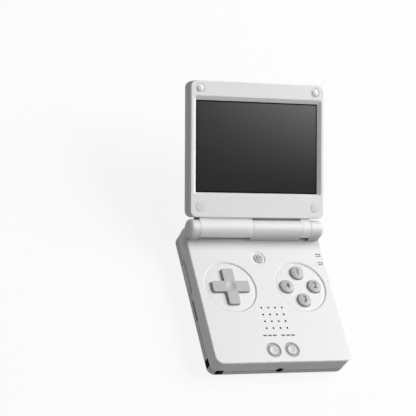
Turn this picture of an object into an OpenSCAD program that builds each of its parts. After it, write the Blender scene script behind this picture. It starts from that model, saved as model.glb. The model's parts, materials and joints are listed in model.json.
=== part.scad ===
/* [Base] */
// Width of the base
body_w = 86.9; // [86:0.1:106]
// Depth of the base from its front wall to its rear wall
body_d = 90; // [89:0.5:110]
// Height of the control deck above the table
base_h = 15.5; // [15:0.1:19]
// Height of the split between the base shells, where the ports sit
seam_z = 5.8; // [5.4:0.1:7]
// Radius of the upright corners
corner_r = 5; // [4:0.5:7]
// Radius of the rounded lower edge
under_r = 3; // [1:0.25:3.5]
// Radius of the rounded upper edge
edge_r = 1; // [0.5:0.1:1.4]
// Wall thickness of the shells
wall = 1.6; // [1.3:0.1:1.9]
// Thickness of the control deck
deck = 2; // [1.7:0.1:2.4]

/* [Controls] */
// Centre of the direction pad, left of the middle
dpad_x = 22.7; // [20:0.1:24]
// Distance of both control groups in front of (-) or behind (+) the middle
group_y = 3.9; // [2:0.1:6]
// Radius of the shallow dish round each control group
dish_r = 16.1; // [14:0.1:17]
// Depth of the dishes
dish_deep = 0.45; // [0.2:0.05:0.6]
// Length of the direction pad from tip to tip
dpad_len = 23; // [19.2:0.1:27.6]
// Width of one arm of the direction pad
dpad_arm = 6.9; // [5.8:0.1:8.3]
// Centre of the four face buttons, right of the middle
face_x = 22.5; // [20:0.1:24]
// Distance of each face button from the middle of its group
face_spread = 9; // [8:0.1:10.5]
// Radius of a face button
face_r = 4.2; // [3.5:0.02:5.04]
// Height of the pad and the face buttons above the deck
crown = 1.2; // [0.8:0.1:1.4]
// Radius of the menu button
menu_r = 2.75; // [2:0.05:3.3]
// Distance of the menu button behind the middle
menu_y = 22.8; // [22:0.1:25]
// Radius of the two lower buttons
lower_r = 3; // [2.4:0.05:3.5]
// Distance of each lower button from the middle line
lower_x = 5.8; // [5:0.1:7]
// Distance of the lower buttons from the front wall
lower_inset = 7.9; // [7:0.1:9]
// Travel of the face buttons
face_travel = 1; // [0.6:0.1:1.2]
// Travel of the menu and lower buttons
small_travel = 0.7; // [0.4:0.1:0.9]
// Tilt of the direction pad to each side, degrees
dpad_tilt = 3; // [2:0.5:3]

/* [Speaker] */
// Distance of the speaker in front of the middle
speaker_y = 16.5; // [15:0.1:18]
// Radius of the speaker
speaker_r = 8.5; // [7:0.1:9]
// Spacing of the sound holes
hole_pitch = 4.4; // [3.6:0.1:4.8]
// Radius of one sound hole
sound_r = 0.62; // [0.3:0.02:0.8]

/* [Shoulder controls] */
// Height of the top edge of the shoulder buttons and triggers
shoulder_top = 10.3; // [9:0.1:11]
// Reach of a shoulder button from its pin to its inner end
shoulder_reach = 7.2; // [6:0.1:7.6]
// Distance of the pin from the side wall
pin_side = 2.55; // [2.4:0.05:3.2]
// Distance of the pin from the rear wall
pin_rear = 3.1; // [2.8:0.05:3.6]
// Depth of the shoulder button in front of its pin
shoulder_back = 1.6; // [1.4:0.1:2]
// Swing of a shoulder button, degrees
shoulder_swing = 7; // [4:0.5:8]
// Inner end of a trigger, from the middle line
trigger_x = 20.8; // [19:0.1:22]
// Width of a trigger
trigger_w = 9.7; // [8.1:0.1:10.5]
// Travel of a trigger
trigger_travel = 0.9; // [0.6:0.1:1.1]

/* [Side controls] */
// Length of the volume rocker
volume_len = 22.1; // [18.5:0.1:24]
// Middle of the volume rocker behind the middle of the base
volume_y = 15.95; // [14:0.05:17]
// Height of the side controls
side_h = 3.2; // [2.6:0.1:3.6]
// Distance that the side controls stand out of the wall
side_proud = 0.5; // [0.3:0.05:0.7]
// Length of the power button
power_len = 10.6; // [8.9:0.1:12]
// Middle of the power button
power_y = 13.8; // [13:0.1:15]
// Length of the reset button
reset_len = 6; // [5:0.1:7]
// Middle of the reset button
reset_y = 1.2; // [0:0.1:2]
// Travel of the power and reset buttons
side_travel = 0.4; // [0.2:0.05:0.45]
// Tilt of the volume rocker to each side, degrees
volume_tilt = 2; // [1:0.5:2]

/* [Ports] */
// Radius of the bore that takes the headphone plug
jack_r = 1.8; // [1.77:0.01:1.9]
// Length of the headphone bore
jack_len = 12.5; // [11:0.1:14]
// Middle of the charging socket, from the middle line
usb_x = -9.9; // [-12:0.1:-9]
// Middle of the video socket, from the middle line
video_x = 6.95; // [6:0.05:9]
// Width of a memory card slot
card_w = 12.4; // [11.5:0.1:13]
// Middle of the left card slot
card_left_y = -6.05; // [-8:0.05:-5]
// Middle of the right card slot
card_right_y = -9.8; // [-12:0.1:-8]
// Inner radius of the cord tunnel round the front left corner
loop_r = 3.6; // [3.2:0.1:4]
// Width of the cord tunnel
loop_w = 4.6; // [3:0.1:4.8]
// Height of the cord tunnel
loop_h = 4.2; // [2.4:0.1:4.4]

/* [Hinge] */
// Radius of the hinge barrel
hinge_r = 5.2; // [4.8:0.1:5.6]
// Height of the hinge axis above the deck
hinge_lift = 5; // [4.8:0.1:5.4]
// Length of the base's left end knuckle
end_left = 6.45; // [4.5:0.05:7]
// Length of the base's right end knuckle
end_right = 8.55; // [8:0.05:11]
// Length of the lid's right knuckle
lid_knuckle = 6; // [5.6:0.1:7]
// Radius of the rounded outer ends of the barrel
barrel_end_r = 2.5; // [1.5:0.1:3]
// Place of the joint between the lid's left knuckle and the middle barrel
middle_x = -2.9; // [-4:0.1:-2]
// Radius of the hinge pins
pin_r = 1.5; // [1.25:0.05:1.8]
// Radius of the friction cartridge
cartridge_r = 3.5; // [2.9:0.1:3.9]
// Angle between the open lid and its closed place, degrees
lid_open = 149; // [90:0.5:150]

/* [Lid] */
// Gap between the closed lid and the deck
lid_gap = 0.8; // [0.7:0.05:1]
// Thickness of the lid
lid_t = 10; // [9:0.1:11.5]
// Depth of the front bezel, from its face to the lid's split
bezel_t = 3.5; // [3.4:0.1:4]
// Distance of the lid's end from the hinge axis
lid_start = 6.2; // [6:0.1:7]
// Radius of the lid's corners in plan
lid_corner = 3.8; // [3:0.1:4.5]
// Radius of the lid's outer edge
lid_edge = 2.5; // [1:0.1:3]
// Place of the badge plate, from the hinge axis
badge_u = 78.2; // [74:0.1:79]
// Length of the badge plate
badge_len = 24.3; // [20:0.1:29.2]
// Width of the badge plate
badge_w = 6.3; // [5:0.1:7.5]

/* [Screen] */
// Width of the cover glass
glass_w = 78.5; // [70:0.1:79]
// Height of the cover glass
glass_h = 52.8; // [44:0.1:54]
// Thickness of the cover glass
glass_t = 1; // [0.8:0.05:1.2]
// Distance of the middle of the glass from the hinge axis
glass_u = 47; // [45:0.1:49]
// Depth of the glass below the bezel's face
recess = 1.6; // [1.2:0.05:1.7]
// Width of the sloped frame at the bezel's face
frame_w = 83; // [81:0.1:83.4]
// Radius of the sloped frame's corners at the bezel's face
frame_r = 1.6; // [1:0.1:2]
// Near edge of the sloped frame, from the hinge axis
frame_u0 = 19.3; // [18.5:0.1:20]
// Far edge of the sloped frame, from the hinge axis
frame_u1 = 75.9; // [75:0.1:76.5]

/* [Fasteners] */
// Radius of the caps and bumpers over the screws
cap_r = 2.85; // [2.6:0.05:3.1]
// Distance of the base screws from the side wall
screw_side = 4.8; // [4.6:0.1:5.5]
// Distance of the front base screws from the front wall
screw_front = 10.9; // [10:0.1:12]
// Distance of the rear base screws from the rear wall
screw_rear = 16.7; // [15:0.1:18]
// Radius of the base screws
screw_r = 1; // [0.85:0.05:1.2]
// Distance of the lid screws from the lid's side
lid_screw_side = 6; // [5.5:0.1:7]
// Distance of the near lid screws from the hinge axis
lid_screw_near = 12.4; // [11.5:0.1:13]
// Distance of the far lid screws from the lid's far end
lid_screw_far = 4.5; // [4.2:0.1:5.5]

/* [Inside] */
// Height of the board's top face below the deck
board_drop = 4.3; // [4:0.1:4.6]
// Thickness of the board
board_t = 1; // [0.8:0.1:1.2]
// Width of the battery
battery_w = 48; // [40:0.5:48]
// Length of the battery
battery_l = 46; // [38:0.5:46]
// Thickness of the battery
battery_t = 5; // [4:0.1:5.2]

/* [Fits] */
// Running clearance on the radius of a pin
run_gap = 0.05; // [0.02:0.01:0.09]
// Clearance on the radius of a pin or screw that is held fast
hold_gap = 0.02; // [0.01:0.005:0.04]
// Gap round a button in its window
skin_gap = 0.3; // [0.25:0.01:0.35]
// Gap between a piece and the flat that it lies on
seat_gap = 0.05; // [0.02:0.01:0.1]
// Gap between neighbouring knuckles
knuckle_gap = 0.3; // [0.2:0.05:0.4]

/* [Hidden] */
$fn = 64;

half_w = body_w / 2;
half_d = body_d / 2;
deck_z = base_h - deck;
board_top = deck_z - board_drop;
board_low = board_top - board_t;
inner_w = half_w - wall;
inner_d = half_d - wall;
lower_y = -half_d + lower_inset;

// Hinge line and the places where the knuckles meet
hinge_y = half_d - hinge_r;
hinge_z = base_h + hinge_lift;
left_x = -half_w + end_left;
right_x = half_w - end_right;
lid_right_x = right_x - lid_knuckle;
trough_gap = 0.35;
board_side = 5.95;
board_rear = 5.6;
board_rear_gap = 1.2;
neck_front = 2.4;
lip_low = 0.5;
lip_top = 3.6;
lip_root = 1;
lip_wrap = 0.4;
pin_grip = 5.9;
web_x = lid_right_x + 3.1;
cartridge_x = 8;
flex_bore_r = 2.8;
flex_r = 2.2;
flex_t = 0.3;
flex_lid_x = [-18, -6];
flex_base_x = [-2, 3.5];

// Lid heights are measured from the hinge axis, with the lid closed
face_z = -(hinge_lift - lid_gap);
back_z = face_z + lid_t;
split_z = face_z + bezel_t;
lid_w = body_w - 0.25;
lid_end = hinge_y + half_d - 0.2;
lid_roof = 1.5;
lid_face_edge = 0.6;
glass_z = face_z + recess;
ledge_z = glass_z + glass_t + seat_gap;
view = [73.4, 49.4];
panel = [76, 51.5, 2.2];
lid_screws_at = [[1, lid_screw_near], [-1, lid_screw_near], [1, lid_end - lid_screw_far],
    [-1, lid_end - lid_screw_far]];
lid_screw_x = lid_w / 2 - lid_screw_side;
lid_screw_r = 0.95;
lid_head = [1.8, 0.85];
cap_t = 0.9;
bumper_dome = 0.65;

// Stack of a push button below the deck
flange_t = 1;
flange_lip = 0.9;
stem_drop = 1.9;
small_proud = 0.2;
small_dish = 1.75;
dome_gap = 0.15;
sheet_t = 0.6;
pivot_z = deck_z - 0.3;
dpad_flange = [dpad_len + 1.8, dpad_arm + 1.2];
tilt_room = dpad_flange[0] / 2 * sin(dpad_tilt) + 0.35;
pivot_disc = [3.5, 0.5];
dpad_foot = pivot_z - 1.75;

// Screws, posts and the cord tunnel
base_screws_at = [for (x = [-1, 1], y = [-half_d + screw_front, half_d - screw_rear])
    [x * (half_w - screw_side), y]];
board_posts_at = [[-30, 22], [30, 22], [-14, -31], [14, -31]];
board_screw_r = 0.8;
head_z = 3;
head = [2.4, 1.3];
foot_cap_t = 1.6;
loop_z = 5;
block_r = loop_r + loop_w + wall;

// Shoulder buttons, triggers and side controls
shoulder_at = [half_w - pin_side, half_d - pin_rear];
shoulder_pin_r = 0.8;
shoulder_spring_r = 1.2;
shoulder_spring_wire = 0.25;
shoulder_spring_room = 0.25;
shoulder_spring_l = 1.7;
clear_of_table = 0.25;
trigger_depth = 3.1;
trigger_flange = [0.6, 1.5];
trigger_back = inner_d - skin_gap;
side_flange = 0.75;
side_flange_gap = 0.1;
volume_play = 0.5;
volume_stem = volume_len - 8;
rocker_t = 1.4;
rocker_gap = volume_len / 2 * sin(volume_tilt) + 0.07;
switch_spread = 6;

// Flat shapes

module rounded(w, d, r) {
    square([w, d - 2 * r], center = true);
    square([w - 2 * r, d], center = true);
    for (x = [-1, 1], y = [-1, 1])
        translate([x * (w / 2 - r), y * (d / 2 - r)])
            circle(r);
}

module pill(length, height) {
    square([length - height, height], center = true);
    for (x = [-1, 1])
        translate([x * (length - height) / 2, 0])
            circle(d = height);
}

module cross(length, arm, r) {
    rounded(length, arm, r);
    rounded(arm, length, r);
}

// All that lies behind the front edge of the right shoulder button, about its pin
module behind_line(gap) {
    translate([-20, -shoulder_back - gap])
        square(40);
}

// Round-edged boxes: the rounded ends are rings at the four corners

module edge_rings(w, d, r, edge) {
    for (x = [-1, 1], y = [-1, 1])
        translate([x * (w / 2 - r), y * (d / 2 - r), 0])
            rotate_extrude($fn = 32)
                intersection() {
                    translate([r - edge, 0])
                        circle(edge, $fn = 32);
                    translate([0, -edge])
                        square([r, 2 * edge]);
                }
}

module soft_box(w, d, r, low, low_edge, high, high_edge) {
    hull() {
        translate([0, 0, low + low_edge])
            edge_rings(w, d, r, low_edge);
        translate([0, 0, high - high_edge])
            edge_rings(w, d, r, high_edge);
    }
}

module base_form() {
    soft_box(body_w, body_d, corner_r, 0, under_r, base_h, edge_r);
}

module lid_form() {
    translate([0, -(lid_start + lid_end) / 2, 0])
        soft_box(lid_w, lid_end - lid_start, lid_corner, face_z, lid_face_edge, back_z, lid_edge);
}

module slab(low, high) {
    translate([-100, -150, low])
        cube([200, 300, high - low]);
}

// A block given by its lowest and highest corners
module block(low, high) {
    translate(low)
        cube(high - low);
}

// A round bar along X
module bar(r, x0, x1) {
    translate([x0, 0, 0])
        rotate([0, 90, 0])
            cylinder(r = r, h = x1 - x0);
}

module on_hinge() {
    translate([0, hinge_y, hinge_z])
        children();
}

// Puts a piece drawn on the closed lid where it is with the lid open
module on_lid() {
    on_hinge()
        rotate([-lid_open, 0, 0])
            children();
}

module both_sides() {
    children();
    mirror([1, 0, 0])
        children();
}

// Stands a flat shape on a side wall, from x0 to x1
module along_x(x0, x1) {
    translate([x0, 0, 0])
        rotate([90, 0, 90])
            linear_extrude(x1 - x0)
                children();
}

// Stands a flat shape on the front or rear wall, from y0 to y1
module along_y(y0, y1) {
    translate([0, y1, 0])
        rotate([90, 0, 0])
            linear_extrude(y1 - y0)
                children();
}

// Holes

module shoulder_window() {
    both_sides()
        translate([shoulder_at[0], shoulder_at[1], -1])
            linear_extrude(shoulder_top + skin_gap + 1)
                intersection() {
                    circle(shoulder_reach + skin_gap);
                    union() {
                        behind_line(skin_gap);
                        rotate(shoulder_swing)
                            behind_line(skin_gap);
                    }
                }
}

module trigger_window() {
    both_sides()
        block([trigger_x - skin_gap, half_d - trigger_depth - trigger_travel - skin_gap, -1],
              [trigger_x + trigger_w + skin_gap, half_d + 1, shoulder_top + skin_gap]);
}

// A recess as long as the rocker, with a slot for its stem in the floor
module volume_window() {
    translate([0, volume_y, seam_z]) {
        along_x(-half_w - 1, -half_w - side_proud + rocker_t + rocker_gap)
            pill(volume_len + 2 * skin_gap, side_h + 2 * skin_gap);
        along_x(-half_w - 1, -inner_w + 1)
            pill(volume_stem + 2 * skin_gap, side_h + 2 * skin_gap);
    }
}

module side_window(y, length) {
    translate([0, y, seam_z])
        along_x(inner_w - 1, half_w + 1)
            pill(length + 2 * skin_gap, side_h + 2 * skin_gap);
}

module video_outline(w, h) {
    polygon([[-w / 2, h / 2], [w / 2, h / 2], [w / 2, 0], [w / 2 - h / 3, -h / 2], [-w / 2 + h / 3, -h / 2],
        [-w / 2, 0]]);
}

module cord_tunnel() {
    translate([-half_w, -half_d, loop_z - loop_h / 2])
        rotate_extrude()
            translate([loop_r, 0])
                square([loop_w, loop_h]);
}

module wall_holes() {
    shoulder_window();
    trigger_window();
    volume_window();
    side_window(power_y, power_len);
    side_window(reset_y, reset_len);
    cord_tunnel();
    translate([0, 0, seam_z]) {
        along_y(-half_d - 1, -inner_d + 0.5)
            circle(2.5);
        translate([usb_x, 0, 0])
            along_y(inner_d - 0.5, half_d + 1)
                pill(9.8, 3.6);
        translate([video_x, 0, 0])
            along_y(inner_d - 0.5, half_d + 1)
                video_outline(12.5, 3.8);
        translate([0, card_left_y, 0])
            along_x(-half_w - 1, -inner_w + 0.5)
                rounded(card_w + 0.6, 2, 0.5);
        translate([0, card_right_y, 0])
            along_x(inner_w - 0.5, half_w + 1)
                rounded(card_w + 0.6, 2, 0.5);
    }
}

module corner_block(low, high) {
    intersection() {
        translate([0, 0, low])
            linear_extrude(high - low)
                rounded(body_w - 2, body_d - 2, corner_r - 1);
        translate([-half_w, -half_d, low])
            cylinder(r = block_r, h = high - low);
    }
}

// Base shells

// Half of a barrel's outline, from its axis or from its whole width, with its far end rounded
module barrel_outline(length, half) {
    intersection() {
        rounded(2 * hinge_r, 2 * length, barrel_end_r);
        translate([half ? 0 : -hinge_r, 0])
            square([half ? hinge_r : 2 * hinge_r, length]);
    }
}

// The outline of the right end knuckle's foot, from x0 out to the side wall
module end_outline(x0) {
    intersection() {
        translate([x0, hinge_y])
            rotate(-90)
                barrel_outline(half_w - x0, false);
        rounded(body_w, body_d, corner_r);
    }
}

// The base's three knuckles seen from above
module knuckle_outlines() {
    translate([middle_x, hinge_y - hinge_r])
        square([lid_right_x - middle_x, 2 * hinge_r]);
    end_outline(right_x);
    mirror([1, 0])
        end_outline(-left_x);
}

module end_barrel(x0) {
    translate([x0, hinge_y, hinge_z])
        rotate([0, 90, 0])
            rotate_extrude()
                barrel_outline(half_w - x0, true);
}

module flex_slot() {
    block([flex_base_x[0] - 0.4, hinge_y - flex_r - 0.4, deck_z - 1],
          [flex_base_x[1] + 0.4, hinge_y - flex_r + 0.7, hinge_z]);
}

// The base's three knuckles, from the deck up
module hinge_knuckles() {
    color("gainsboro")
        difference() {
            union() {
                translate([0, 0, base_h])
                    linear_extrude(hinge_lift)
                        knuckle_outlines();
                intersection() {
                    union() {
                        on_hinge()
                            bar(hinge_r, middle_x, lid_right_x);
                        end_barrel(right_x);
                        mirror([1, 0, 0])
                            end_barrel(-left_x);
                    }
                    slab(base_h, hinge_z + hinge_r + 1);
                }
            }
            on_hinge() {
                bar(pin_r + hold_gap, -half_w + 1.2, left_x + 1);
                bar(pin_r + hold_gap, right_x - 1, half_w - 1.2);
                bar(cartridge_r + hold_gap, cartridge_x - seat_gap, lid_right_x + 1);
                bar(flex_bore_r, middle_x - 1, cartridge_x - 1.5);
            }
            flex_slot();
        }
}

module deck_openings() {
    for (x = [-dpad_x, face_x])
        translate([x, group_y, base_h - dish_deep])
            cylinder(r1 = dish_r - 0.6, r2 = dish_r, h = dish_deep + 0.01);
    translate([-dpad_x, group_y, deck_z - 1])
        linear_extrude(deck + 2)
            cross(dpad_len + 2 * skin_gap, dpad_arm + 2 * skin_gap, 1.4);
    for (a = [0:90:270])
        translate([face_x, group_y, deck_z - 1])
            rotate(a)
                translate([face_spread, 0, 0])
                    cylinder(r = face_r + skin_gap, h = deck + 2);
    small_openings(0, menu_y, menu_r);
    for (x = [-1, 1])
        small_openings(x * lower_x, lower_y, lower_r);
    for (i = [0:3], j = [0:3])
        translate([(i - 1.5) * hole_pitch, -speaker_y + (j - 1.5) * hole_pitch, deck_z - 1])
            cylinder(r = sound_r, h = deck + 2);
    light_pipe_shapes(seat_gap, deck_z - 1, base_h + 1);
}

module small_openings(x, y, r) {
    translate([x, y, deck_z - 1])
        cylinder(r = r + skin_gap, h = deck + 2);
    translate([x, y, base_h - dish_deep])
        cylinder(r1 = r + small_dish - 0.5, r2 = r + small_dish, h = dish_deep + 0.01);
}

module base_top_shell() {
    color("gainsboro")
        difference() {
            union() {
                difference() {
                    union() {
                        intersection() {
                            base_form();
                            slab(seam_z, base_h + 1);
                        }
                        translate([0, 0, deck_z])
                            linear_extrude(deck)
                                knuckle_outlines();
                    }
                    translate([0, 0, seam_z - 1])
                        linear_extrude(deck_z - seam_z + 1)
                            rounded(2 * inner_w, 2 * inner_d, corner_r - wall);
                }
                for (p = base_screws_at)
                    translate([p[0], p[1], seam_z])
                        cylinder(r = 3, h = deck_z - seam_z + 0.5);
                for (p = board_posts_at)
                    translate([p[0], p[1], board_top + seat_gap])
                        cylinder(r = 2, h = board_drop + 0.5);
                both_sides()
                    translate([shoulder_at[0], shoulder_at[1], shoulder_top + skin_gap + 0.1])
                        cylinder(r = 2.2, h = deck_z - shoulder_top);
                corner_block(seam_z, loop_z + loop_h / 2 + wall);
            }
            on_hinge() {
                bar(hinge_r + trough_gap, left_x, middle_x);
                bar(hinge_r + trough_gap, lid_right_x, right_x);
            }
            flex_slot();
            deck_openings();
            wall_holes();
            for (p = base_screws_at)
                translate([p[0], p[1], seam_z - 1])
                    cylinder(r = screw_r + hold_gap, h = 5.5);
            for (p = board_posts_at)
                translate([p[0], p[1], board_top - 1])
                    cylinder(r = board_screw_r + hold_gap, h = 4.4);
            both_sides()
                translate([shoulder_at[0], shoulder_at[1], shoulder_top])
                    cylinder(r = shoulder_pin_r + hold_gap, h = deck_z - shoulder_top - 0.1);
        }
}

module base_bottom_shell() {
    color("darkgray")
        difference() {
            union() {
                difference() {
                    intersection() {
                        base_form();
                        slab(-1, seam_z);
                    }
                    translate([0, 0, wall])
                        linear_extrude(seam_z)
                            rounded(2 * inner_w, 2 * inner_d, corner_r - wall);
                }
                for (p = base_screws_at)
                    translate([p[0], p[1], 1])
                        cylinder(r = 3.9, h = seam_z - 1);
                corner_block(wall - 0.5, seam_z);
                translate([-inner_w + side_flange + volume_play + 0.8, volume_y, wall - 0.5])
                    cylinder(r = 0.6, h = seam_z - wall + 0.5);
            }
            wall_holes();
            for (p = base_screws_at)
                translate([p[0], p[1], 0]) {
                    translate([0, 0, -1])
                        cylinder(r = cap_r + seat_gap, h = head_z + 1);
                    cylinder(r = screw_r + 0.2, h = seam_z + 1);
                }
        }
}

// Fasteners of the base

module base_screws() {
    color("silver")
        for (p = base_screws_at)
            translate([p[0], p[1], 0])
                difference() {
                    union() {
                        translate([0, 0, head_z - head[1]])
                            cylinder(r = head[0], h = head[1]);
                        translate([0, 0, head_z - 0.1])
                            cylinder(r = screw_r, h = seam_z + 4 - head_z);
                    }
                    for (a = [0, 90])
                        rotate(a)
                            block([-1.2, -0.25, head_z - head[1] - 1], [1.2, 0.25, head_z - head[1] + 0.6]);
                }
}

module foot_caps() {
    color("dimgray")
        for (p = base_screws_at)
            translate([p[0], p[1], 0])
                cylinder(r = cap_r, h = foot_cap_t);
}

module board_screws() {
    color("silver")
        for (p = board_posts_at)
            translate([p[0], p[1], board_low - seat_gap - 0.9]) {
                cylinder(r = 1.7, h = 0.9);
                cylinder(r = board_screw_r, h = board_t + 4);
            }
}

// Electronics

module main_board() {
    color("darkgreen")
        translate([0, 0, board_low])
            difference() {
                linear_extrude(board_t) {
                    translate([-34.5, -inner_d + 1.4])
                        square([69, inner_d + hinge_y - 2.2]);
                    translate([-inner_w + 0.85, -29])
                        square([2 * inner_w - 1.7, 53]);
                    translate([board_side - half_w, hinge_y - board_rear_gap - board_rear])
                        square([body_w - 2 * board_side, board_rear]);
                }
                for (p = board_posts_at)
                    translate([p[0], p[1], -1])
                        cylinder(r = board_screw_r + 0.2, h = board_t + 2);
                translate([-half_w, -half_d, -1])
                    cylinder(r = block_r + seat_gap, h = board_t + 2);
            }
}

module battery() {
    color("slategray")
        translate([-battery_w / 2, 18 - battery_l, wall + seat_gap])
            cube([battery_w, battery_l, battery_t]);
}

module battery_lead() {
    color("crimson") {
        block([-2, 18 + seat_gap, wall + battery_t - 1.5], [2, 23, wall + battery_t - 0.5]);
        block([-2.5, 21, wall + battery_t - 1.5], [2.5, 24.5, board_low - seat_gap]);
    }
}

module speaker() {
    color("dimgray")
        translate([0, -speaker_y, board_top + seat_gap])
            difference() {
                cylinder(r = speaker_r, h = board_drop - 0.4);
                translate([0, 0, board_drop - 1.4])
                    cylinder(r1 = 3, r2 = speaker_r - 1.2, h = 1.2);
            }
}

module speaker_gasket() {
    color("black")
        translate([0, -speaker_y, deck_z - 0.34])
            difference() {
                cylinder(r = speaker_r, h = 0.32);
                translate([0, 0, -1])
                    cylinder(r = speaker_r - 0.8, h = 3);
            }
}

module light_pipe_shapes(gap, low, high) {
    for (y = [24.9, 19.2])
        translate([half_w - 2.45, y, low])
            linear_extrude(high - low)
                rounded(0.8 + 2 * gap, 2.2 + 2 * gap, 0.3);
}

module light_pipes() {
    color("white")
        light_pipe_shapes(0, board_top + 1, base_h - 0.02);
}

// Rubber sheets on the board, with their domes at pressed height

module dpad_membrane() {
    color("gray")
        translate([-dpad_x, group_y, board_top + seat_gap]) {
            cylinder(r = 13, h = sheet_t);
            for (a = [0:90:270])
                rotate(a)
                    translate([8.2, 0, 0])
                        cylinder(r1 = 2.6, r2 = 2, h = sheet_t + 0.4);
            cylinder(r = 2.4, h = dpad_foot - pivot_disc[1] - skin_gap - 0.25 - board_top - seat_gap);
        }
}

module face_membrane() {
    color("gray")
        translate([face_x, group_y, board_top + seat_gap]) {
            cylinder(r = 14, h = sheet_t);
            for (a = [0:90:270])
                rotate(a)
                    translate([face_spread, 0, 0])
                        cylinder(r1 = 3, r2 = 2.3, h = board_drop - stem_drop - face_travel - dome_gap - seat_gap);
        }
}

module small_membranes() {
    color("gray") {
        small_dome(0, menu_y);
        translate([0, lower_y, board_top + seat_gap])
            linear_extrude(sheet_t)
                rounded(2 * lower_x + 9, 9, 2);
        for (x = [-1, 1])
            small_dome(x * lower_x, lower_y);
    }
}

module small_dome(x, y) {
    translate([x, y, board_top + seat_gap]) {
        cylinder(r = 3.8, h = sheet_t);
        cylinder(r1 = 2.3, r2 = 1.8, h = board_drop - stem_drop - small_travel - dome_gap - seat_gap);
    }
}

// A socket with its mouth at y = 0, running back along -Y and up to the board
module socket(w, h, depth, mouth_w, mouth_h, tongue_w) {
    difference() {
        union() {
            block([-w / 2, -depth, -h / 2], [w / 2, 0, h / 2]);
            block([-w / 2 + 0.8, -depth + 0.4, 0], [w / 2 - 0.8, -3, board_low - seam_z - seat_gap]);
        }
        block([-mouth_w / 2, -depth + 1, -mouth_h / 2], [mouth_w / 2, 1, mouth_h / 2]);
    }
    if (tongue_w > 0)
        block([-tongue_w / 2, -depth + 0.5, -0.35], [tongue_w / 2, -1, 0.35]);
}

module usb_socket() {
    color("silver")
        translate([usb_x, inner_d - seat_gap, seam_z])
            socket(9, 3.2, 8, 8.4, 2.6, 6.6);
}

module video_socket() {
    color("silver")
        translate([video_x, inner_d - seat_gap, seam_z])
            socket(11.2, 3, 8, 10.4, 2.2, 8.4);
}

module card_socket_left() {
    color("silver")
        translate([-inner_w - 0.3, card_left_y, seam_z])
            rotate(90)
                socket(card_w, 1.8, 15, card_w - 1.1, 1.1, 0);
}

module card_socket_right() {
    color("silver")
        translate([inner_w + 0.3, card_right_y, seam_z])
            rotate(-90)
                socket(card_w, 1.8, 15, card_w - 1.1, 1.1, 0);
}

module audio_jack() {
    color("dimgray")
        translate([0, 0, seam_z])
            difference() {
                union() {
                    block([-3.2, -inner_d + 0.1, -2.9],
                          [3.2, -half_d + jack_len + 1.5, board_low - seam_z - seat_gap]);
                    along_y(-half_d + 0.2, -inner_d + 1)
                        circle(2.4);
                }
                along_y(-half_d - 1, -half_d + 0.2 + jack_len)
                    circle(jack_r);
            }
}

module shoulder_switches() {
    color("dimgray")
        both_sides() {
            block([shoulder_at[0] - 6.6, hinge_y - 3.6, board_low - 3.4],
                  [shoulder_at[0] - 3.6, hinge_y - 1.3, board_low - seat_gap]);
            block([trigger_x + trigger_w / 2 - 1.6, hinge_y - 3.4, board_low - 3.4],
                  [trigger_x + trigger_w / 2 + 1.6, hinge_y - 0.3, board_low - seat_gap]);
        }
}

module side_switch(side, y, x) {
    block([side > 0 ? x - 3 : -x, y - 1.7, seam_z - 1.5], [side > 0 ? x : -x + 3, y + 1.7, board_low - seat_gap]);
}

module side_switches() {
    behind_volume = inner_w - volume_play - side_flange - 0.4;
    behind_buttons = inner_w - side_flange_gap - side_flange - side_travel - 0.1;
    color("dimgray") {
        side_switch(-1, volume_y - switch_spread, behind_volume);
        side_switch(-1, volume_y + switch_spread, behind_volume);
        side_switch(1, power_y, behind_buttons);
        side_switch(1, reset_y, behind_buttons);
    }
}

// Push buttons

module push_button(r, proud, dome) {
    edge_z = base_h + proud - dome;
    bend = (r * r + dome * dome) / (2 * dome);
    intersection() {
        translate([0, 0, deck_z - 1])
            cylinder(r = r, h = deck + 1 + proud);
        translate([0, 0, base_h + proud - bend])
            sphere(bend);
    }
    translate([0, 0, deck_z - 0.1 - flange_t])
        cylinder(r = r + flange_lip, h = flange_t);
    translate([0, 0, deck_z - stem_drop])
        cylinder(r = r * 0.6, h = stem_drop - 0.5);
}

module face_button(angle) {
    color("lightgray")
        translate([face_x + face_spread * cos(angle), group_y + face_spread * sin(angle), 0])
            push_button(face_r, crown, 0.45);
}

module face_button_top() {
    face_button(90);
}

module face_button_left() {
    face_button(180);
}

module face_button_right() {
    face_button(0);
}

module face_button_bottom() {
    face_button(270);
}

module menu_button() {
    color("lightgray")
        translate([0, menu_y, 0])
            push_button(menu_r, small_proud, 0.3);
}

module select_button() {
    color("lightgray")
        translate([-lower_x, lower_y, 0])
            push_button(lower_r, small_proud, 0.3);
}

module start_button() {
    color("lightgray")
        translate([lower_x, lower_y, 0])
            push_button(lower_r, small_proud, 0.3);
}

// Direction pad on its pivot disc

module dpad_pivot() {
    color("gray")
        translate([-dpad_x, group_y, dpad_foot - pivot_disc[1] - 0.25])
            cylinder(r = pivot_disc[0], h = pivot_disc[1]);
}

module dpad() {
    flange_top = deck_z - tilt_room;
    color("lightgray")
        translate([-dpad_x, group_y, 0])
            difference() {
                union() {
                    translate([0, 0, flange_top - 0.5])
                        linear_extrude(base_h + crown - flange_top + 0.5)
                            cross(dpad_len, dpad_arm, 1.2);
                    translate([0, 0, flange_top - 0.8])
                        linear_extrude(0.8)
                            cross(dpad_flange[0], dpad_flange[1], 1.2);
                    translate([0, 0, dpad_foot])
                        cylinder(r = 3.2, h = flange_top - dpad_foot);
                }
                translate([0, 0, base_h + crown + 9.4])
                    sphere(10);
            }
}

// Shoulder buttons and triggers

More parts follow.
